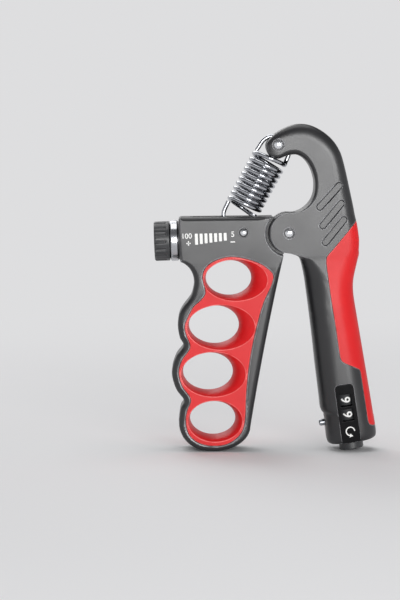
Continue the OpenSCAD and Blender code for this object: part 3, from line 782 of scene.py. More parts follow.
@dataclass
class Workshop:
    """Turns blanks into dressed pieces that ride on the frame."""

    paints: PaintShop = field(default_factory=PaintShop)

    def publish(
        self, name: str, blank: Blank, finish: Finish, body: Optional[Body], replaces: Sequence[str] = (),
        smooth_angle: float = 38.0,
    ) -> bpy.types.Object:
        """Makes a finished piece.

        Args:
            name: The piece's name.
            blank: Its mesh in millimetres of the drawing, which is used up.
            finish: Its finish.
            body: The body that it rides on, or None to leave it on no body.
            replaces: Solids that it stands for.
            smooth_angle: Edges sharper than this stay sharp.

        Returns:
            The piece.
        """
        blank.tidy().mark_edges()
        blank.move(PLACE)
        mesh = bpy.data.meshes.new(name)
        blank.bm.to_mesh(mesh)
        blank.bm.free()
        mesh.shade_smooth()
        mesh.set_sharp_from_angle(angle=math.radians(smooth_angle))
        mesh.materials.append(self.paints.material(finish))
        piece = bpy.data.objects.new(name, mesh)
        bpy.context.scene.collection.objects.link(piece)
        even = piece.modifiers.new("even_normals", "WEIGHTED_NORMAL")
        even.keep_sharp = True
        if body is not None:
            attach(piece, body.value)
        if replaces:
            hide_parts(*replaces)
        log.info("%s: %d faces", name, len(mesh.polygons))
        return piece

    def polish(
        self, node: str, finish: Finish, body: Optional[Body], width: float, sink: float = 0.0
    ) -> bpy.types.Object:
        """Makes a softened copy of a solid that stands for it.

        Args:
            node: The solid's name.
            finish: The copy's finish.
            body: The body that it rides on, or None to leave it on no body.
            width: Rounding of its edges, 0 to leave them as they are.
            sink: How far it sits back from the near side, to leave room for print.

        Returns:
            The piece.
        """
        blank = Blank()
        blank.bm.from_mesh(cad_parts[node].data)
        blank.move(PLACE.inverted())
        blank.merge()
        if width:
            blank.soften(width)
        blank.move(Matrix.Translation((0, sink, 0)))
        return self.publish(f"{node}_dressed", blank, finish, body, (node,))

    def paint(self, node: str, finish: Finish) -> None:
        """Gives a solid that keeps its own shape a finish."""
        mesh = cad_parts[node].data
        mesh.materials.clear()
        mesh.materials.append(self.paints.material(finish))


def pin_seat(radius: float, floor: float, face: float) -> list[Point]:
    """Draws the profile of a round recess for a pin or screw head, with a chamfered mouth.

    Args:
        radius: Its radius.
        floor: How far its floor lies from the part's middle.
        face: How far the face that it opens through lies from there.

    Returns:
        Points as (radius, height).
    """
    chamfer, clear = 0.35, 13.0
    wide = radius + chamfer
    return [(0, floor), (radius, floor), (radius, face - chamfer), (wide, face), (wide, clear), (0, clear)]


# The finger side


@dataclass(frozen=True)
class FingerHole:
    """A finger hole at its waist, and how far its mouth opens towards the palm side."""

    x: float
    z: float
    half_width: float
    half_height: float
    flare: float


@dataclass
class FingerSide:
    """The finger handle with its arm, and the red inlay with four finger holes.

    The bar beside the palm side runs from bar_top down to bar_foot. Above it a round socket clears the palm
    side's boss, and the tongue goes into that boss.
    """

    shop: Workshop
    wall: float = 5.3
    frame_wall: float = 3.3
    notch: float = 4.1
    bottom: float = -104.14
    arm_top: float = 11.3
    arm_meets_socket: Point = (-7.9, 8.69)
    socket: float = 11.0
    bar_top: float = -10.8
    bar_foot: float = -91.5
    tongue: float = 8.8
    tongue_half: float = 4.2
    screw_seat: Point = (-21.7, 3.0)
    sink: float = 0.3
    lip: float = 0.55
    mouth: float = math.radians(70)
    holes: tuple[FingerHole, ...] = (
        FingerHole(-28.8, -20.9, 10.92, 8.46, 7.5),
        FingerHole(-35.8, -43.5, 12.0, 9.3, 7.5),
        FingerHole(-38.7, -66.1, 12.0, 9.3, 6.0),
        FingerHole(-36.4, -88.7, 10.92, 8.46, 3.2),
    )

    def apex(self, i: int) -> Point:
        """Returns the outermost point beside a hole."""
        hole = self.holes[i]
        return hole.x - hole.half_width - self.wall, hole.z

    def outer_rail(self) -> list[Point]:
        """Returns the outer edge from a point in the hollow under the arm to the last bulge."""
        a, b, c, d = (self.apex(i) for i in range(4))

        def dip(p: Row, q: Row, drop: float) -> Point:
            """Returns the notch between two bulges."""
            return (p[0] + q[0]) / 2 + self.notch, (p[1] + q[1]) / 2 + drop

        def flank(peak: Row, low: Row) -> Point:
            """Returns a point on the slope between a bulge and a notch."""
            out, along = 0.66, 0.42
            return low[0] + out * (peak[0] - low[0]), low[1] + along * (peak[1] - low[1])

        first, second = dip(b, c, 1.6), dip(c, d, -2.1)
        return [
            (a[0] - 3.6, a[1] - 11.6), b, flank(b, first), first, flank(c, first), c, flank(c, second),
            second, flank(d, second), d,
        ]

    def inner_x(self, z: float) -> float:
        """Returns the inner edge at a height, a leaning line with a slight bow."""
        top, top_x, lean, bow = -10.1, -2.7, 0.1892, 0.6
        down = z - top
        return top_x + lean * down - bow * math.sin(math.pi * down / (self.bottom + 20))

    def inner_wall(self, z: float) -> float:
        """Returns the width of the bar between the inner edge and the inlay at a height."""
        top, thin, bulge = -14.0, 2.4, 3.6
        return thin + bulge * max(0.0, math.sin(math.pi * (z - top) / (self.bottom + 24)))

    def arm_edge(self) -> list[Row]:
        """Returns the edge from the knob end along the arm to the socket, as (x, z, rim radius)."""
        corner, steps = 1.0, 12

        def arm(x: float, z: float) -> Point:
            """Returns a point given along the arm."""
            spot = ON_ARM @ Vector((x, 0, z))
            return spot.x, spot.z

        made: list[Row] = [(*arm(ARM_END, -9.0), 1.2), (*arm(ARM_END, 0), 1.0)]
        for k in range(5):
            turn = math.radians(180 - 22.5 * k)
            x = ARM_END + corner * (1 + math.cos(turn))
            made.append((*arm(x, self.arm_top - corner * (1 - math.sin(turn))), 1.0 + 0.1 * k))
        left, right = arm(ARM_END + 2 * corner, self.arm_top), self.arm_meets_socket
        for k in range(steps):
            x, z = (a + (b - a) * k / steps for a, b in zip(left, right))
            made.append((x, z, 2.2 if k < steps - 1 else 1.4))
        return made + [(*right, 0.8)]

    def inner_edge(self) -> list[Row]:
        """Returns the edge round the socket and down the bar, as (x, z, rim radius)."""
        start, sweep, steps, socket_rim, bar_step = 134.5, 121.5, 21, 0.8, 2.4
        made: list[Row] = []
        for k in range(1, steps + 1):
            turn = math.radians(start + sweep * k / steps)
            x, z = (self.socket * way for way in (math.cos(turn), math.sin(turn)))
            made.append((PIVOT[0] + x, PIVOT[1] + z, socket_rim))
        z = self.bar_top
        while z > self.bar_foot:
            rim = min(0.6 + 0.22 * (self.bar_top - z), 0.72 * self.inner_wall(z), 2.9)
            made.append((self.inner_x(z), z, rim))
            z -= bar_step
        return made

    def foot_edge(self) -> list[Row]:
        """Returns the rounded foot from the bar to the last bulge, as (x, z, rim radius)."""
        end, steps, right_drop, left_drop, fullness = self.holes[3], 12, 3.3, 1.3, 0.87
        right_reach = self.inner_x(end.z - right_drop) - end.x
        left_reach = self.apex(3)[0] - end.x
        made: list[Row] = []
        for k in range(steps):
            turn = math.pi / 2 * k / steps
            fall = (self.bottom - end.z + right_drop) * math.sin(turn)
            made.append((end.x + right_reach * math.cos(turn), end.z - right_drop + fall, 2.0))
        for k in range(steps):
            turn = math.pi / 2 * (1 - k / steps)
            fall = (self.bottom - end.z + left_drop) * math.sin(turn)
            made.append((end.x + left_reach * math.cos(turn) ** fullness, end.z - left_drop + fall, 2.2))
        return made

    def outline(self) -> list[Row]:
        """Returns the whole edge, clockwise from the knob end, as (x, z, rim radius)."""
        rim = 2.6
        hollow = [
            (-51.7, -13.0, 1.3), (-49.7, -14.0, 1.8), (-47.5, -16.1, 2.4), (-45.95, -19.0, rim),
            (-45.35, -22.2, rim), (-45.65, -25.4, rim), (-46.9, -29.6, rim), (-50.5, -34.4, rim),
            (-52.5, -38.4, rim),
        ]
        rail = hollow + [(*p, rim) for p in self.outer_rail()[1:]]
        return self.arm_edge() + self.inner_edge() + self.foot_edge() + list(reversed(flow(rail, 7)))

    def window(self) -> list[Point]:
        """Returns the edge of the red inlay, clockwise."""
        rail = self.outer_rail()
        end, top = self.holes[3], self.holes[0]
        neck = [(-12.52, 0.7), (-11.12, -6.5), (-13.42, -10.3), (-16.82, -13.5), (-20.0, -19.5)]
        left = [(top.x + x, top.z + z) for x, z in neck]
        for point, side in list(zip(rail, inward(rail, False)))[1:]:
            left.append((point[0] - self.frame_wall * side[0], point[1] - self.frame_wall * side[1]))
        foot = [(-11.6, 8.6), (-7.2, 4.5), (-0.6, 2.8), (7.3, 3.8), (13.4, 8.6)]
        bottom = [(end.x + x, self.bottom + z) for x, z in foot]
        right = []
        for hole in reversed(self.holes[1:]):
            for z in (hole.z, hole.z + 11.3):
                right.append((self.inner_x(z) - self.inner_wall(z), z))
        head = [
            (self.inner_x(top.z) - 2.4, top.z), (-10.8, top.z + 5.3), (-18.0, top.z + 8.8),
            (top.x + 1.5, top.z + 10.5), (top.x - 6.0, top.z + 8.8), (top.x - 10.8, top.z + 5.4),
        ]
        around = flow(left + bottom + right + head, 6, closed=True)
        return [(p[0], p[1]) for p in reversed(around)]

    def arm_cuts(self) -> list[Blank]:
        """Returns the cutters of the arm's channel, the adjusting screw's bore and the two screw seats."""
        slot = rounded_box(31.8, 8.6, 0.8, 3)
        levels = [(-6.0, 0.0), (9.55, 0.0), (9.8, 0.08), (10.2, 0.5), (14.0, 0.5)]
        channel = Blank()
        channel.loft([[(x - 30.5, y, z) for x, y in inset(slot, -grow)] for z, grow in levels])
        channel.move(ON_ARM)
        near, far, radius = -53.5, -45.5, 4.4
        bore = Blank().lathe([(0, near), (radius, near), (radius, far), (0, far)], ON_ARM @ LENGTHWISE)
        spots = [ON_ARM @ at(self.screw_seat) @ facing(side) for side in (-1, 1)]
        return [channel, bore] + [Blank().lathe(pin_seat(2.2, 9.3, 11.05), spot, 40) for spot in spots]

    def tongue_prism(self) -> Blank:
        """Returns the tongue that goes into the palm side's boss."""
        turns = [math.radians(100 - 200 * k / 24) for k in range(25)]
        outline = [(self.tongue * math.cos(a), PIVOT[1] + self.tongue * math.sin(a)) for a in turns]
        outline += [(-2.6, -9.6), (-14.0, -9.6), (-14.0, 8.0), (-2.6, 8.4)]
        face, chamfer = self.tongue_half, 0.3
        side = face - chamfer
        return Blank().prism(outline, [(-face, -chamfer), (-side, 0), (side, 0), (face, -chamfer)])

    def build_frame(self) -> None:
        """Models the black handle with its arm, channel and pivot tongue."""
        edge, hole = self.outline(), self.window()
        rims = [p[2] for p in edge]
        steps = [math.pi / 2 * k / 7 for k in range(8)]

        def level(turn: float, side: int) -> list[Row]:
            """Returns the outer edge part way round its rim."""
            moved = inset(edge, [r * (1 - math.sin(turn)) for r in rims])
            return [(x, side * (ARM_HALF - r * (1 - math.cos(turn))), z) for (x, z), r in zip(moved, rims)]

        def lip(turn: float, side: int) -> list[Row]:
            """Returns the inlay's edge part way round its lip."""
            moved = inset(hole, -self.lip * (1 - math.sin(turn)))
            return [(x, side * (ARM_HALF - self.lip * (1 - math.cos(turn))), z) for x, z in moved]

        blank = Blank()
        outside = blank.loft(
            [level(t, -1) for t in steps] + [level(t, 1) for t in reversed(steps)], capped=False
        )
        small = [0.0, math.pi / 4, math.pi / 2]
        inside = blank.loft([lip(t, -1) for t in small] + [lip(t, 1) for t in reversed(small)], capped=False)
        blank.fill(outside[0], inside[0])
        blank.fill(outside[1], inside[1])
        blank.cut(*self.arm_cuts())
        blank.combine("UNION", self.tongue_prism())
        self.shop.publish("finger_frame", blank, SATIN_BLACK, Body.FINGER, ("finger_handle",))

    def build_inlay(self) -> None:
        """Models the red inlay with its flared finger holes."""
        half, hole_edge = ARM_HALF - self.sink, self.window()

        def mouth(hole: FingerHole, open_by: float, y: float, grow: float) -> list[Row]:
            """Returns a ring of a finger hole.

            Args:
                hole: The hole.
                open_by: How far it is open, 0 at its waist and 1 at its mouth.
                y: The ring's place across the part.
                grow: Growth of the ring.

            Returns:
                The ring's points.
            """
            back_flare, taller, lower, points = 0.8, 1.4, 0.7, 72
            x = hole.x + (hole.flare - back_flare) / 2 * open_by
            z = hole.z - lower * open_by
            wide = hole.half_width + (hole.flare + back_flare) / 2 * open_by + grow
            high = hole.half_height + taller * open_by + grow
            angles = [2 * math.pi * j / points for j in range(points)]
            return [(x + wide * math.cos(a), y, z + high * math.sin(a)) for a in angles]

        blank = Blank()
        rim = [(half, -0.34), (half - 0.08, -0.16), (half - 0.27, -0.07)]
        edges = [(-y, grow) for y, grow in rim] + list(reversed(rim))
        sides = [[(x, y, z) for x, z in inset(hole_edge, -grow)] for y, grow in edges]
        front, back = blank.loft(sides, capped=False)
        fronts, backs = [front], [back]
        for hole in self.holes:
            rings = []
            for k in range(-12, 13):
                turn = self.mouth * k / 12
                open_by = (1 - math.cos(turn)) / (1 - math.cos(self.mouth))
                across = (half - 0.25) * math.sin(turn) / math.sin(self.mouth)
                rings.append(mouth(hole, open_by, across, 0.0))
            lips = ((half, 0.4), (half - 0.05, 0.17), (half - 0.14, 0.05))
            rings = [mouth(hole, 1, -y, grow) for y, grow in lips] + rings
            rings += [mouth(hole, 1, y, grow) for y, grow in reversed(lips)]
            near, far = blank.loft(rings, capped=False)
            fronts.append(near)
            backs.append(far)
        blank.fill(*fronts)
        blank.fill(*backs)
        self.shop.publish("finger_inlay", blank, SOFT_RED, Body.FINGER, ("finger_insert",), smooth_angle=60)

    def build(self) -> None:
        """Models and dresses the finger side."""
        self.build_frame()
        self.build_inlay()
        for node, finish, width in (("tail_screws", POLISHED, 0.15), ("tail_block", TURNED_STEEL, 0.25)):
            self.shop.polish(node, finish, Body.FINGER, width)
        self.shop.paint("thrust_bush", BRONZE)
        self.shop.paint("pivot_bush", BRONZE)
        self.shop.paint("pivot_washers", NYLON)


# The palm side


@dataclass
class PalmSide:
    """The hooked palm handle with its pivot boss, slots and counter bay, and the red palm pad.

    A station is (inner x, z, outer x, z, half thickness, inner rim, outer rim, inner rim depth, outer rim
    depth).
    """

    shop: Workshop
    flat: float = 10.95
    grip: float = 12.39
    boss: float = 9.8
    corner_steps: int = 9

    def stations(self) -> list[Row]:
        """Returns the stations from the hook tip round the boss to the end of the grip."""
        f, g = self.flat, self.grip
        hook: list[Row] = [
            (-10.75, 40.3, -11.15, 42.0, f - 2.6, 0.8, 0.8, 2.0, 2.0),
            (-10.0, 38.6, -10.9, 43.6, f - 1.2, 1.6, 1.8, 2.4, 2.6),
            (-8.6, 37.1, -9.9, 45.2, f - 0.4, 2, 3, 2.5, 3),
            (-5.2, 36.2, -6.6, 48.2, f, 2, 4, 2.5, 3),
            (-1.2, 37.6, -1.6, 51, f, 2.6, 5.5, 2.8, 3.5),
            (3, 38.2, 4.2, 52.72, f, 2.6, 6.5, 2.8, 4),
            (6.6, 36.6, 10, 52.1, f, 2.6, 6.5, 2.8, 4),
            (9.4, 33.4, 15.9, 49.2, f, 2.6, 6.5, 2.8, 4),
            (11.3, 29.2, 20.9, 44.8, f, 2.6, 6.5, 2.8, 4),
            (12.2, 24.6, 24.4, 39.2, f, 2.6, 6.5, 2.8, 4),
            (11.8, 19.4, 26.6, 31.8, f, 2.6, 6.5, 2.8, 4),
            (9.8, 15.2, 28.6, 23, f, 2.6, 6.5, 2.8, 4),
            (6.2, 12, 30.6, 13.8, f, 2.0, 6.3, 2.2, 4),
        ]
        outer_edge = (
            (31.25, 10.6), (31.77, 8.2), (32.43, 5.6), (32.87, 3.2), (33.23, 0.8), (33.55, -1.8),
            (33.6, -4.4), (33.48, -7.2),
        )
        around: list[Row] = []
        for k, edge in enumerate(outer_edge):
            turn = math.radians(78 + 27.9 * k)
            inner = (self.boss * math.cos(turn), PIVOT[1] + self.boss * math.sin(turn))
            around.append((*inner, *edge, f, 1.2, 6.3, 1.4, 4.6))
        grip: list[Row] = [
            (4.0, -10.2, 33.6, -9.6, f, 2.4, 7, 2.6, 6),
            (5.8, -12.6, 32.7, -13.4, f, 6.5, 8, 5, 6),
            (7.4, -19.6, 31.1, -21.4, f + 0.3, 10.5, 9, 8.5, 7),
            (8.6, -27.6, 31.1, -28, g - 0.6, 11, 10, 9, 8),
            (10, -37.8, 32.6, -37.6, g, 10, 10, 9, 9),
            (11.5, -49.8, 34.8, -50, g, 10, 10, 9, 9),
            (13.1, -64, 37.3, -64.6, g, 10, 10, 9, 9),
            (14.9, -78, 39.6, -77.8, g, 10, 10, 9, 9),
            (15.7, -84.2, 40.8, -85, g, 10, 10, 9, 9),
            (17.2, -86.8, 41.4, -88, g, 10, 10, 9, 9),
            (17.9, -92.4, 42.2, -93, g, 10, 10, 9, 9),
            (18.6, -98.0, 42.4, -96.0, g - 0.1, 10, 10, 9, 9),
            (19.2, -100.2, 41.9, -97.4, g - 0.7, 9.6, 9.6, 8.8, 8.8),
            (20.6, -101.2, 40.9, -98.2, g - 1.8, 9, 9, 8.4, 8.4),
        ]
        return flow(hook + around + grip, 6)

    def section(self, s: Row) -> list[Row]:
        """Returns the closed section of a station with rounded rims."""
        xi, zi, xo, zo, half, inner, outer, inner_depth, outer_depth = s
        wide = math.hypot(xo - xi, zo - zi)
        inner, outer = min(inner, wide * 0.49), min(outer, wide * 0.49)
        made = []
        corners = (
            (wide - outer, half - outer_depth, outer, outer_depth, 0),
            (inner, half - inner_depth, inner, inner_depth, 90),
            (inner, inner_depth - half, inner, inner_depth, 180),
            (wide - outer, outer_depth - half, outer, outer_depth, 270),
        )
        for across, y, rx, ry, start in corners:
            for k in range(self.corner_steps + 1):
                turn = math.radians(start + 90 * k / self.corner_steps)
                share = (across + rx * math.cos(turn)) / wide
                made.append((xi + (xo - xi) * share, y + ry * math.sin(turn), zi + (zo - zi) * share))
        return made

    def body(self) -> Blank:
        """Returns the whole handle without its cuts."""
        blank = Blank()
        blank.loft([self.section(s) for s in self.stations()])
        return blank

    def pad_prism(self, gap: float) -> Blank:
        """Returns the region of the red pad.

        Args:
            gap: How far its edge is moved in.

        Returns:
            A prism across the part.
        """
        rail = flow(
            [
                (20.4, -7.4), (18.6, -9.4), (17.6, -12.2), (18.4, -19.6), (20.1, -31.6), (22.3, -45),
                (24, -56.4), (24.7, -59.3), (26.2, -61.1), (32.2, -63.8), (33.9, -64.8), (34.6, -67.5),
                (36.9, -82), (37.7, -87.6), (38.4, -90.2), (39.7, -91.4), (43.0, -91.9),
            ],
            5,
        )
        outline = [(60.0, 40.4), (60.0, -92.2)] + list(reversed(rail))
        return Blank().prism(outline, [(-40, -gap), (40, -gap)])

    def cuts(self) -> list[Blank]:
        """Returns the cutters of the fork, the spring's slot, the pin seats and the side slots."""
        made, spring_slot = [], (-6.95, 39.81)
        for spot, radius, half in ((PIVOT, 10.2, 4.8), (spring_slot, 8.6, 1.6)):
            disc = [(0, -half), (radius, -half), (radius, half), (0, half)]
            made.append(Blank().lathe(disc, at(spot) @ facing(-1), 96))
        for spot, radius in ((PIVOT, 2.5), (HOOK, 2.6)):
            for side in (-1, 1):
                made.append(Blank().lathe(pin_seat(radius, 9.6, 11.0), at(spot) @ facing(side), 40))
        slot_levels = [(10.03, -0.35), (10.13, -0.1), (10.38, 0), (10.66, 0), (11.02, 0.33), (13, 0.41)]
        for a, b in (((14.6, 13.3), (23.7, 23.4)), ((16, 4.4), (24.7, 15)), ((17.3, -3.6), (26, 7.2))):
            for side in (-1, 1):
                made.append(Blank().prism(stadium(a, b, 1.6), [(side * y, grow) for y, grow in slot_levels]))
        return made

    def counter_cuts(self) -> list[Blank]:
        """Returns the cutters of the window plate's bay, the wheels' cavity and the trigger's hole."""
        plate = [(x, z + 14.9) for x, z in rounded_box(9.0, 28.2, 1.9)]
        bay = Blank().prism(plate, [(-8.6, 0), (-10.2, 0), (-10.45, 0.05), (-11.4, 0.3), (-14, 0.3)])
        cavity = Blank().lathe([(0, -6), (9.2, -6), (9.2, 27.4), (0, 27.4)], Matrix.Identity(4), 96)
        bore = [(0, -16), (2.2, -16), (1.75, -12.4), (1.75, -5), (0, -5)]
        hole = Blank().lathe(bore, Matrix.Translation((0, 2, 10.9)) @ LENGTHWISE, 32)
        return [tool.move(ON_COUNTER) for tool in (bay, cavity, hole)]

    def build(self) -> None:
        """Models and dresses the palm side."""
        shell = self.body().cut(self.pad_prism(0.0), *self.cuts(), *self.counter_cuts()).merge()
        self.shop.publish("palm_shell", shell.soften(0.18, 40), SATIN_BLACK, Body.PALM, ("palm_handle",))
        pad = self.body().combine("INTERSECT", self.pad_prism(0.14)).merge()
        self.shop.publish("palm_pad_soft", pad.soften(0.3, 40), SOFT_RED, Body.PALM, ("palm_pad",))
        for node in ("pivot_pin", "hook_pin"):
            self.shop.polish(node, POLISHED, Body.PALM, 0.12)


# The adjuster and the spring


@dataclass
class Adjuster:
    """The knob, collar, lead screw and carriage along the arm."""

    shop: Workshop
    outer: float = 2.5
    core: float = 2.05
    pitch: float = 2.0
    shank_from: float = -63.0
    thread_from: float = -46.0
    thread_to: float = -24.2
    tip: float = -15.0
    journal: float = 1.6
    steps: int = 28

    def build_screw(self) -> None:
        """Models the lead screw: a plain shank, a thread made by spinning one ridge along, and a journal."""
        along, chamfer = ON_ARM @ LENGTHWISE, 0.2
        shank = [
            (0, self.shank_from), (self.outer, self.shank_from), (self.outer, self.thread_from - 0.4),
            (self.core, self.thread_from + 0.2), (self.core, self.thread_to), (self.journal, self.thread_to),
            (self.journal, self.tip - chamfer), (self.journal - chamfer, self.tip), (0, self.tip),
        ]
        blank = Blank().lathe(shank, along, 40)
        thread = Blank()
        lead_in, spare_turns = 0.6, 0.6
        turns = (self.thread_to - self.thread_from) / self.pitch - spare_turns
        count = int(turns * self.steps)
        root, crest = self.core - 0.1, self.outer - 0.04
        profile = [(root, -0.8), (crest, -0.25), (crest, 0.25), (root, 0.8)]
        loop = [thread.bm.verts.new((r, 0, self.thread_from + lead_in + h)) for r, h in profile]
        ends = [thread.bm.edges.new(pair) for pair in zip(loop, loop[1:] + loop[:1])]
        far = bmesh.ops.spin(
            thread.bm, geom=loop + ends, cent=(0, 0, 0), axis=(0, 0, 1), dvec=(0, 0, self.pitch / self.steps),
            angle=2 * math.pi * count / self.steps, steps=count, use_merge=False,
        )["geom_last"]
        for rim in (ends, [g for g in far if isinstance(g, bmesh.types.BMEdge)]):
            bmesh.ops.edgeloop_fill(thread.bm, edges=rim)
        blank.take(thread.move(along))
        self.shop.publish("lead_screw", blank, TURNED_STEEL, Body.ADJUSTER, ("adjust_screw",))

    def build_gap_ring(self) -> None:
        """Models a thin black ring that fills the gap between collar and arm, so that the gap shows dark."""
        near, far, bore, rim = ARM_END - 0.49, ARM_END - 0.06, 5.2, 9.2
        ring = [(bore, near), (rim, near), (rim, far), (bore, far), (bore, near)]
        blank = Blank().lathe(ring, ON_ARM @ LENGTHWISE)
        self.shop.publish("collar_gap_ring", blank.merge(), KNOB_BLACK, Body.ADJUSTER)

    def build(self) -> None:
        """Models and dresses the adjuster."""
        self.build_screw()
        self.shop.polish("adjust_knob", KNOB_BLACK, Body.ADJUSTER, 0.22)
        self.shop.polish("knob_collar", COLLAR_CHROME, Body.ADJUSTER, 0.25)
        self.build_gap_ring()
        self.shop.polish("carriage", TURNED_STEEL, Body.SLIDER, 0.3)
        self.shop.polish("carriage_pin", BRIGHT_CHROME, Body.SLIDER, 0.2)


@dataclass
class CoilSpring:
    """The extension spring with a full loop at each end.

    The inside of each loop rests on its pin, at carriage_rest and hook_rest from the pin's middle.
    """

    shop: Workshop
    wire: float = 2.1
    coil: float = 7.85
    turns: int = 10
    pitch: float = 2.62
    loop: float = 7.3
    carriage_rest: float = 1.9
    hook_rest: float = 2.5

    def centre_line(self) -> list[Vector]:
        """Returns the wire's centre line from the lower loop to the upper one, in millimetres."""
        low, high = Vector(CARRIAGE_PIN), Vector(HOOK)
        along = (high - low).normalized()
        aside = Vector((along.y, -along.x))
        top = high - along * (self.loop - self.wire / 2 - self.hook_rest)
        bottom = low + along * (self.loop - self.wire / 2 - self.carriage_rest)
        middle, crown = (top + bottom) / 2, (top - bottom).length / 2
        full = 180 * self.turns
        lifts = {-180: 0.4, -135: 1.0, -90: 1.3, -45: 1.5}
        upper: list[Row] = []
        for k in range(1, int(full / 45)):
            turn = round(45 * k - full)
            a = math.radians(turn)
            height = self.pitch * k / 8 + lifts.get(turn, 0.0)
            upper.append((self.coil * math.cos(a), self.coil * math.sin(a), height))
        upper += [(self.coil - 0.25, -2.0, crown - 3.3), (self.coil - 0.4, -0.4, crown - 1.9)]
        for turn in range(0, 181, 15):
            a = math.radians(turn)
            upper.append((self.loop * math.cos(a), 0.0, crown + self.loop * math.sin(a)))
        upper += [(-self.loop - 0.1, 0.0, crown - 2.0), (-self.loop - 0.3, 0.0, crown - 3.6)]
        lower = [(x, -y, -h) for x, y, h in reversed(upper)]
        start = math.radians(-full)
        waist = (self.coil * math.cos(start), self.coil * math.sin(start), 0.0)
        made = []
        for x, y, h in flow(lower + [waist] + upper, 6):
            across, up = (m + x * a + h * b for m, a, b in zip(middle, aside, along))
            made.append(Vector((across, y, up)))
        return made

    def sweep(self, points: Sequence[Vector]) -> Blank:
        """Returns a round wire swept along a run of the centre line."""
        curve = bpy.data.curves.new("wire_path", "CURVE")
        curve.dimensions = "3D"
        curve.bevel_depth = self.wire / 2
        curve.bevel_resolution = 4
        curve.use_fill_caps = True
        spline = curve.splines.new("POLY")
        spline.points.add(len(points) - 1)
        for place, point in zip(spline.points, points):
            place.co = (*point, 1.0)
        return Blank.of_curve(curve).merge()

    def build(self) -> None:
        """Models the spring in two runs, the lower and the upper half, each set on no body."""
        points = self.centre_line()
        half = len(points) // 2
        low, high = (Vector((x, 0, z)) for x, z in (CARRIAGE_PIN, HOOK))
        middle = (low + high) / 2
        for name, run, start, end, bodies, stands_for in (
            ("spring_lower_half", points[: half + 1], low, middle, (Body.SLIDER, Body.FINGER), ("spring",)),
            ("spring_upper_half", points[half:], middle, high, (Body.FINGER, Body.PALM), ()),
        ):
            piece = self.shop.publish(name, self.sweep(run), BRIGHT_CHROME, None, stands_for, smooth_angle=60)
            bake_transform(piece)


# Print and counter


class Print:
    """Flat lettering and marks cut from a thin film of ink."""

    def __init__(self, thickness: float = 0.04) -> None:
        """Keeps the film's thickness."""
        self.thickness = thickness

    def glyph(self, body: str, height: float, bold: float = 0.012) -> Blank:
        """Draws plain characters, centred, upright in x and y.

        Args:
            body: The characters.
            height: Their height.
            bold: Growth of the strokes against a height of 1.

        Returns:
            A flat blank.
        """
        text = bpy.data.curves.new("glyph", "FONT")
        text.body = body
        text.size = 1.0
        text.offset = bold
        text.resolution_u = 6
        blank = Blank.of_curve(text)
        xs = [v.co.x for v in blank.bm.verts]
        ys = [v.co.y for v in blank.bm.verts]
        centred = Matrix.Translation((-(min(xs) + max(xs)) / 2, -(min(ys) + max(ys)) / 2, 0))
        blank.move(Matrix.Scale(height / (max(ys) - min(ys)), 4) @ centred)
        bmesh.ops.remove_doubles(blank.bm, verts=blank.bm.verts, dist=1e-4)
        return blank

    def mark(self, width: float, height: float, radius: float) -> Blank:
        """Draws a flat bar with round corners."""
        blank = Blank()
        loop = blank.ring([(x, y, 0) for x, y in rounded_box(width, height, radius, 3)])
        bmesh.ops.edgeloop_fill(blank.bm, edges=blank.edges_of(loop))
        return blank

    def film(self, blank: Blank) -> Blank:
        """Gives a flat blank the film's thickness, upwards."""
        made = bmesh.ops.extrude_face_region(blank.bm, geom=list(blank.bm.faces))["geom"]
        verts = [g for g in made if isinstance(g, bmesh.types.BMVert)]
        bmesh.ops.translate(blank.bm, vec=(0, 0, self.thickness), verts=verts)
        return blank


@dataclass
class ScalePrint:
    """The force scale on the arm: a heavy and a light number, a sign under each, and bars that shorten."""

    shop: Workshop
    bars: int = 7
    first_bar: float = -44.2
    bar_run: float = 13.7
    ink: Print = field(default_factory=Print)

    def lay(self, blank: Blank, x: float, z: float) -> Blank:
        """Lays a flat blank on the arm's near face."""
        spot = Matrix.Translation((x, -ARM_HALF, z)) @ Matrix.Rotation(-ARM_TILT, 4, "Y")
        return self.ink.film(blank).move(spot @ facing(-1))

    def build(self) -> None:
        """Makes the scale as one film of ink."""
        film = Blank()
        for body, height, x, z in (("100", 2.5, -48.6, -0.5), ("5", 2.6, -26.9, 0.4)):
            film.take(self.lay(self.ink.glyph(body, height), x, z))
        plus = ((2.2, 0.5, -48.0, -4.0), (0.5, 2.2, -48.0, -4.0))
        minus = ((2.2, 0.5, -26.9, -3.3),)
        for width, height, x, z in plus + minus:
            film.take(self.lay(self.ink.mark(width, height, 0.15), x, z))
        for k in range(self.bars):
            share = k / (self.bars - 1)
            top, bottom = 0.6 + 0.43 * share, -4.6 + 1.95 * share
            bar = self.ink.mark(1.4, top - bottom, 0.2)
            film.take(self.lay(bar, self.first_bar + self.bar_run * share, (top + bottom) / 2))
        self.shop.publish("scale_print", film, WHITE_INK, Body.FINGER)


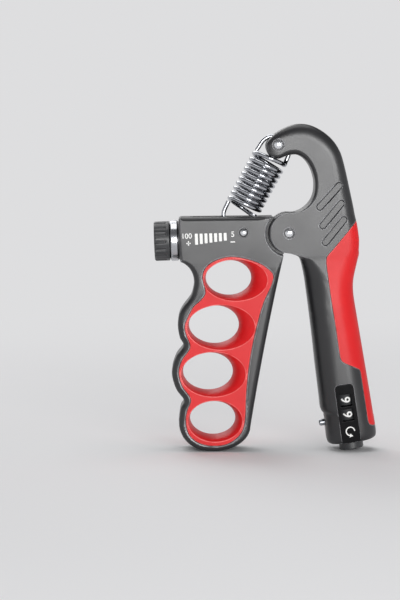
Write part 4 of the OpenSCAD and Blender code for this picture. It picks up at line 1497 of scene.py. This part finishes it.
@dataclass
class Counter:
    """The window plate, two digit wheels, reset knob and trigger at the end of the palm handle."""

    shop: Workshop
    wheel: float = 8.4
    lift: float = 0.02
    digit: float = 4.5
    strip: float = 0.4
    plate_front: float = -10.55
    sink: float = 0.05
    ink: Print = field(default_factory=Print)

    def digits(self, name: str, height: float, body: Body) -> None:
        """Wraps the ten digits round a wheel, the nine at the window.

        Args:
            name: The piece's name.
            height: The wheel's middle above the handle's end.
            body: The wheel's body.
        """
        film = Blank()
        for value in range(10):
            blank = self.ink.glyph(str(value), self.digit, 0.016)
            for k in range(-6, 7):
                geom = [*blank.bm.verts, *blank.bm.edges, *blank.bm.faces]
                cut = (0, k * self.strip, 0)
                bmesh.ops.bisect_plane(blank.bm, geom=geom, plane_co=cut, plane_no=(0, 1, 0), dist=1e-5)
            self.ink.film(blank)
            for vert in blank.bm.verts:
                radius = self.wheel + self.lift + vert.co.z
                turn = math.radians(-36 * (value - 9)) + vert.co.y / self.wheel
                vert.co = (radius * math.sin(turn), -radius * math.cos(turn), height - vert.co.x)
            film.take(blank)
        self.shop.publish(name, film.move(ON_COUNTER), WHITE_INK, body, smooth_angle=50)

    def turn_sign(self) -> None:
        """Draws a turning arrow on the plate above the reset knob."""
        inner, outer, sweep = 1.75, 2.3, math.radians(255)
        head = ((1.05, 0.0), (3.0, 0.0), (2.02, 1.6))
        spot = (0.1, self.plate_front + self.sink, 6.3)
        film, arrow = Blank(), Blank()
        ends = [arrow.bm.verts.new((radius, 0, 0)) for radius in (inner, outer)]
        strip = arrow.bm.edges.new(ends)
        bmesh.ops.spin(
            arrow.bm, geom=[*ends, strip], cent=(0, 0, 0), axis=(0, 0, 1), angle=sweep, steps=40,
            use_merge=False,
        )
        turn = Matrix.Rotation(sweep, 4, "Z")
        tip = [arrow.bm.verts.new(turn @ Vector((x, y, 0))) for x, y in head]
        bmesh.ops.contextual_create(arrow.bm, geom=tip)
        film.take(self.ink.film(arrow.tidy()))
        upright = Matrix.Translation(spot) @ facing(-1)
        self.shop.publish("turn_sign", film.move(ON_COUNTER @ upright), WHITE_INK, Body.PALM)

    def build(self) -> None:
        """Models and dresses the counter."""
        self.digits("units_digits", 14.3, Body.UNITS)
        self.digits("tens_digits", 21.4, Body.TENS)
        self.turn_sign()
        self.shop.polish("window_plate", GLOSS_BLACK, Body.PALM, 0.2, self.sink)
        for node, finish, body, width in (
            ("end_cap", SATIN_BLACK, Body.PALM, 0.2),
            ("units_wheel", WHEEL_BLACK, Body.UNITS, 0.25), ("tens_wheel", WHEEL_BLACK, Body.TENS, 0.25),
            ("reset_knob", KNOB_BLACK, Body.RESET, 0.2), ("reset_screw", TURNED_STEEL, Body.RESET, 0.12),
            ("trigger_button", TURNED_STEEL, Body.TRIGGER, 0.12),
        ):
            self.shop.polish(node, finish, body, width)
        self.shop.paint("bearing_plate", NYLON)
        self.shop.paint("wheel_washers", WHEEL_BLACK)
        self.shop.paint("reset_shaft", TURNED_STEEL)
        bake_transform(self.shop.polish("trigger_spring", TURNED_STEEL, None, 0.0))


# The studio


def seen_rays(w: Wiring) -> bpy.types.NodeSocket:
    """Returns 1 for rays from the camera, a reflection or a clear piece, and 0 for light on surfaces."""
    path = w.node("ShaderNodeLightPath").outputs
    mirrored = w.maths("MAXIMUM", path["Is Glossy Ray"], path["Is Transmission Ray"])
    return w.maths("MAXIMUM", path["Is Camera Ray"], mirrored)


@dataclass(frozen=True)
class Lamp:
    """A soft lamp: where it hangs and its width and height in metres, and its power."""

    name: str
    place: tuple[float, float, float]
    size: Point
    power: float


@dataclass
class Studio:
    """The floor, lamps, world and camera.

    The floor takes on the backdrop's colour over the stretch floor_fades, in metres from its middle. The
    world dims from the backdrop to the overhead colour over the heights sky_dims, and lights surfaces with
    fill.
    """

    distance: float = 1.1
    rise: float = 4.5
    sensor: float = 36.0
    target: tuple[float, float, float] = (-42.5, 0.0, -31.9)
    frame_height: float = 289.2
    backdrop: tuple[float, float, float, float] = (0.73, 0.73, 0.74, 1.0)
    overhead: tuple[float, float, float, float] = (0.16, 0.16, 0.165, 1.0)
    fill: tuple[float, float, float, float] = (0.24, 0.24, 0.245, 1.0)
    sky_dims: Point = (0.12, 0.6)
    floor_colour: str = "#eeeeef"
    floor_half: float = 6.0
    floor_fades: Point = (0.2, 0.75)
    lit_point: tuple[float, float, float] = (0.0, 0.0, 0.08)
    lamps: tuple[Lamp, ...] = (
        Lamp("key_softbox", (0.26, -1.3, 0.12), (0.78, 0.75), 19.0),
        Lamp("top_softbox", (0.0, 0.1, 1.2), (0.9, 0.9), 5.0),
        Lamp("back_softbox", (-0.5, 1.1, 1.0), (1.0, 1.0), 7.0),
    )

    def floor(self) -> None:
        """Lays a plain pale floor that runs out into the backdrop's colour."""
        blank = Blank()
        bmesh.ops.create_grid(blank.bm, x_segments=4, y_segments=4, size=self.floor_half)
        floor = blank.stand("floor")
        paint = bpy.data.materials.new("pale_floor")
        paint.use_nodes = True
        paint.node_tree.nodes.clear()
        w = Wiring(paint.node_tree)
        near = w.node("ShaderNodeBsdfDiffuse", {"Color": linear(self.floor_colour)}).outputs[0]
        away = w.node("ShaderNodeEmission", {"Color": self.backdrop}).outputs[0]
        place = w.node("ShaderNodeTexCoord").outputs["Object"]
        reach = w.node("ShaderNodeVectorMath", {0: place}, operation="LENGTH").outputs["Value"]
        share = w.ramp(reach, *self.floor_fades, interpolation_type="SMOOTHSTEP")
        mix = w.node("ShaderNodeMixShader", {0: w.maths("MULTIPLY", share, seen_rays(w)), 1: near, 2: away})
        w.node("ShaderNodeOutputMaterial", {"Surface": mix.outputs[0]})
        floor.data.materials.append(paint)

    def hang(self, lamp: Lamp) -> None:
        """Hangs a soft lamp, turned to the lit point."""
        data = bpy.data.lights.new(lamp.name, "AREA")
        data.shape = "RECTANGLE"
        data.size, data.size_y = lamp.size
        data.energy = lamp.power
        hung = bpy.data.objects.new(lamp.name, data)
        hung.location = lamp.place
        way = Vector(self.lit_point) - Vector(lamp.place)
        hung.rotation_euler = way.to_track_quat("-Z", "Y").to_euler()
        bpy.context.scene.collection.objects.link(hung)

    def world(self) -> None:
        """Surrounds the scene with a pale horizon that dims overhead, and a lower plain light."""
        world = bpy.data.worlds.new("studio_world")
        bpy.context.scene.world = world
        world.use_nodes = True
        world.node_tree.nodes.clear()
        w = Wiring(world.node_tree)
        way = w.node("ShaderNodeTexCoord").outputs["Generated"]
        height = w.node("ShaderNodeSeparateXYZ", {"Vector": way}).outputs["Z"]
        shown = w.mix(w.ramp(height, *self.sky_dims), self.backdrop, self.overhead)
        light = w.mix(seen_rays(w), self.fill, shown)
        sky = w.node("ShaderNodeBackground", {"Color": light})
        w.node("ShaderNodeOutputWorld", {"Surface": sky.outputs[0]})

    def camera(self) -> None:
        """Sets the camera at the photograph's angle."""
        data = bpy.data.cameras.new("camera")
        data.sensor_fit = "AUTO"
        data.sensor_width = self.sensor
        data.lens = self.sensor * self.distance / (self.frame_height * MM)
        camera = bpy.data.objects.new("camera", data)
        rise = math.radians(self.rise)
        aim = PLACE @ Vector(self.target)
        camera.location = aim + self.distance * Vector((0, -math.cos(rise), math.sin(rise)))
        camera.rotation_euler = (aim - camera.location).to_track_quat("-Z", "Y").to_euler()
        bpy.context.scene.collection.objects.link(camera)
        bpy.context.scene.camera = camera

    def build(self) -> None:
        """Sets up the studio."""
        self.camera()
        self.floor()
        self.world()
        for lamp in self.lamps:
            self.hang(lamp)
        bpy.context.scene.view_settings.view_transform = "Standard"


def main() -> None:
    """Builds the studio and every piece."""
    logging.basicConfig(level=logging.INFO, format="%(name)s: %(message)s")
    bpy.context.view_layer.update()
    Studio().build()
    shop = Workshop()
    for assembly in (FingerSide, PalmSide, Adjuster, CoilSpring, ScalePrint, Counter):
        assembly(shop).build()
        log.info("%s is dressed", assembly.__name__)


if __name__ == "__main__":
    main()
